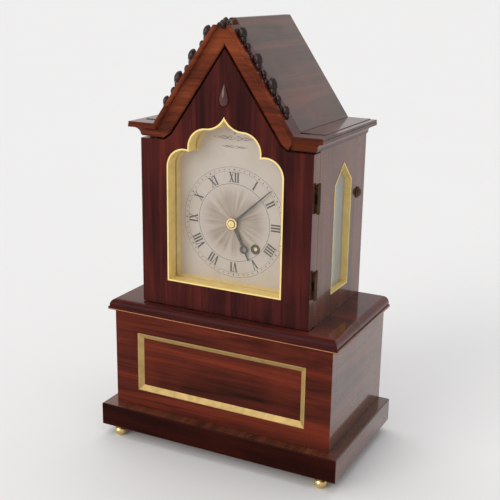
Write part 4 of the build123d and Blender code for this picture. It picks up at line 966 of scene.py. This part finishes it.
def lay_floor():
    """A wide sheet of pale paper."""
    corners = [
        (-FLOOR_REACH, -FLOOR_REACH, 0),
        (FLOOR_REACH, -FLOOR_REACH, 0),
        (FLOOR_REACH, FLOOR_REACH, 0),
        (-FLOOR_REACH, FLOOR_REACH, 0),
    ]
    mesh = bpy.data.meshes.new("floor")
    mesh.from_pydata(corners, [], [(0, 1, 2, 3)])
    paper, tree, bsdf = new_material("floor_paper")
    tone = noise(tree, object_coords(tree, 3), detail=2.0, roughness=0.5)
    white = mix(tree, tone, PAPER, tuple(0.985 * c for c in PAPER))
    tree.links.new(white, bsdf.inputs["Base Color"])
    bsdf.inputs["Roughness"].default_value = 0.9
    bsdf.inputs["Specular IOR Level"].default_value = 0.1
    mesh.materials.append(paper)
    floor = bpy.data.objects.new("floor", mesh)
    bpy.context.scene.collection.objects.link(floor)


def light_studio():
    """An even pale surround."""
    world = bpy.data.worlds.new("studio")
    bpy.context.scene.world = world
    world.use_nodes = True
    backdrop = world.node_tree.nodes["Background"]
    backdrop.inputs["Color"].default_value = (1.0, 0.995, 0.985, 1.0)
    backdrop.inputs["Strength"].default_value = 0.72


def sun_light(name, towards, strength, spread_deg, colour=(1, 1, 1)):
    """A broad soft light from far away, shining along a direction."""
    data = bpy.data.lights.new(name, "SUN")
    data.energy = strength
    data.angle = math.radians(spread_deg)
    data.color = colour
    lamp = bpy.data.objects.new(name, data)
    lamp.rotation_euler = Vector(towards).to_track_quat("-Z", "Y").to_euler()
    bpy.context.scene.collection.objects.link(lamp)


lay_floor()
light_studio()
sun_light("overhead_light", (0.25, -0.35, -1.0), 0.75, 60)
sun_light("front_light", (0.45, 1.0, -0.5), 1.2, 40, (1.0, 0.98, 0.95))

VIEW_RIGHT = Vector((0.895, 0.446, 0.0))
VIEW_UP = Vector((-0.124, 0.249, 0.960))
VIEW_BACK = Vector((0.428, -0.860, 0.278))
VIEW_ROLL = 0.016
VIEW_FROM = Vector((0.3226, -0.6471, 0.3699))
LENS = 67.2
SENSOR = 36.0


def set_camera():
    """The camera stands above and to the right of the clock, turned by a slight roll."""
    right = VIEW_RIGHT * math.cos(VIEW_ROLL) + VIEW_UP * math.sin(VIEW_ROLL)
    up = VIEW_UP * math.cos(VIEW_ROLL) - VIEW_RIGHT * math.sin(VIEW_ROLL)
    camera_data = bpy.data.cameras.new("camera")
    camera_data.lens = LENS
    camera_data.sensor_width = SENSOR
    camera_data.clip_start = 0.01
    camera = bpy.data.objects.new("camera", camera_data)
    rotation = Matrix((right, up, VIEW_BACK)).transposed()
    camera.matrix_world = Matrix.Translation(VIEW_FROM) @ rotation.to_4x4()
    bpy.context.scene.collection.objects.link(camera)
    bpy.context.scene.camera = camera


set_camera()
bpy.context.scene.view_settings.view_transform = "Standard"
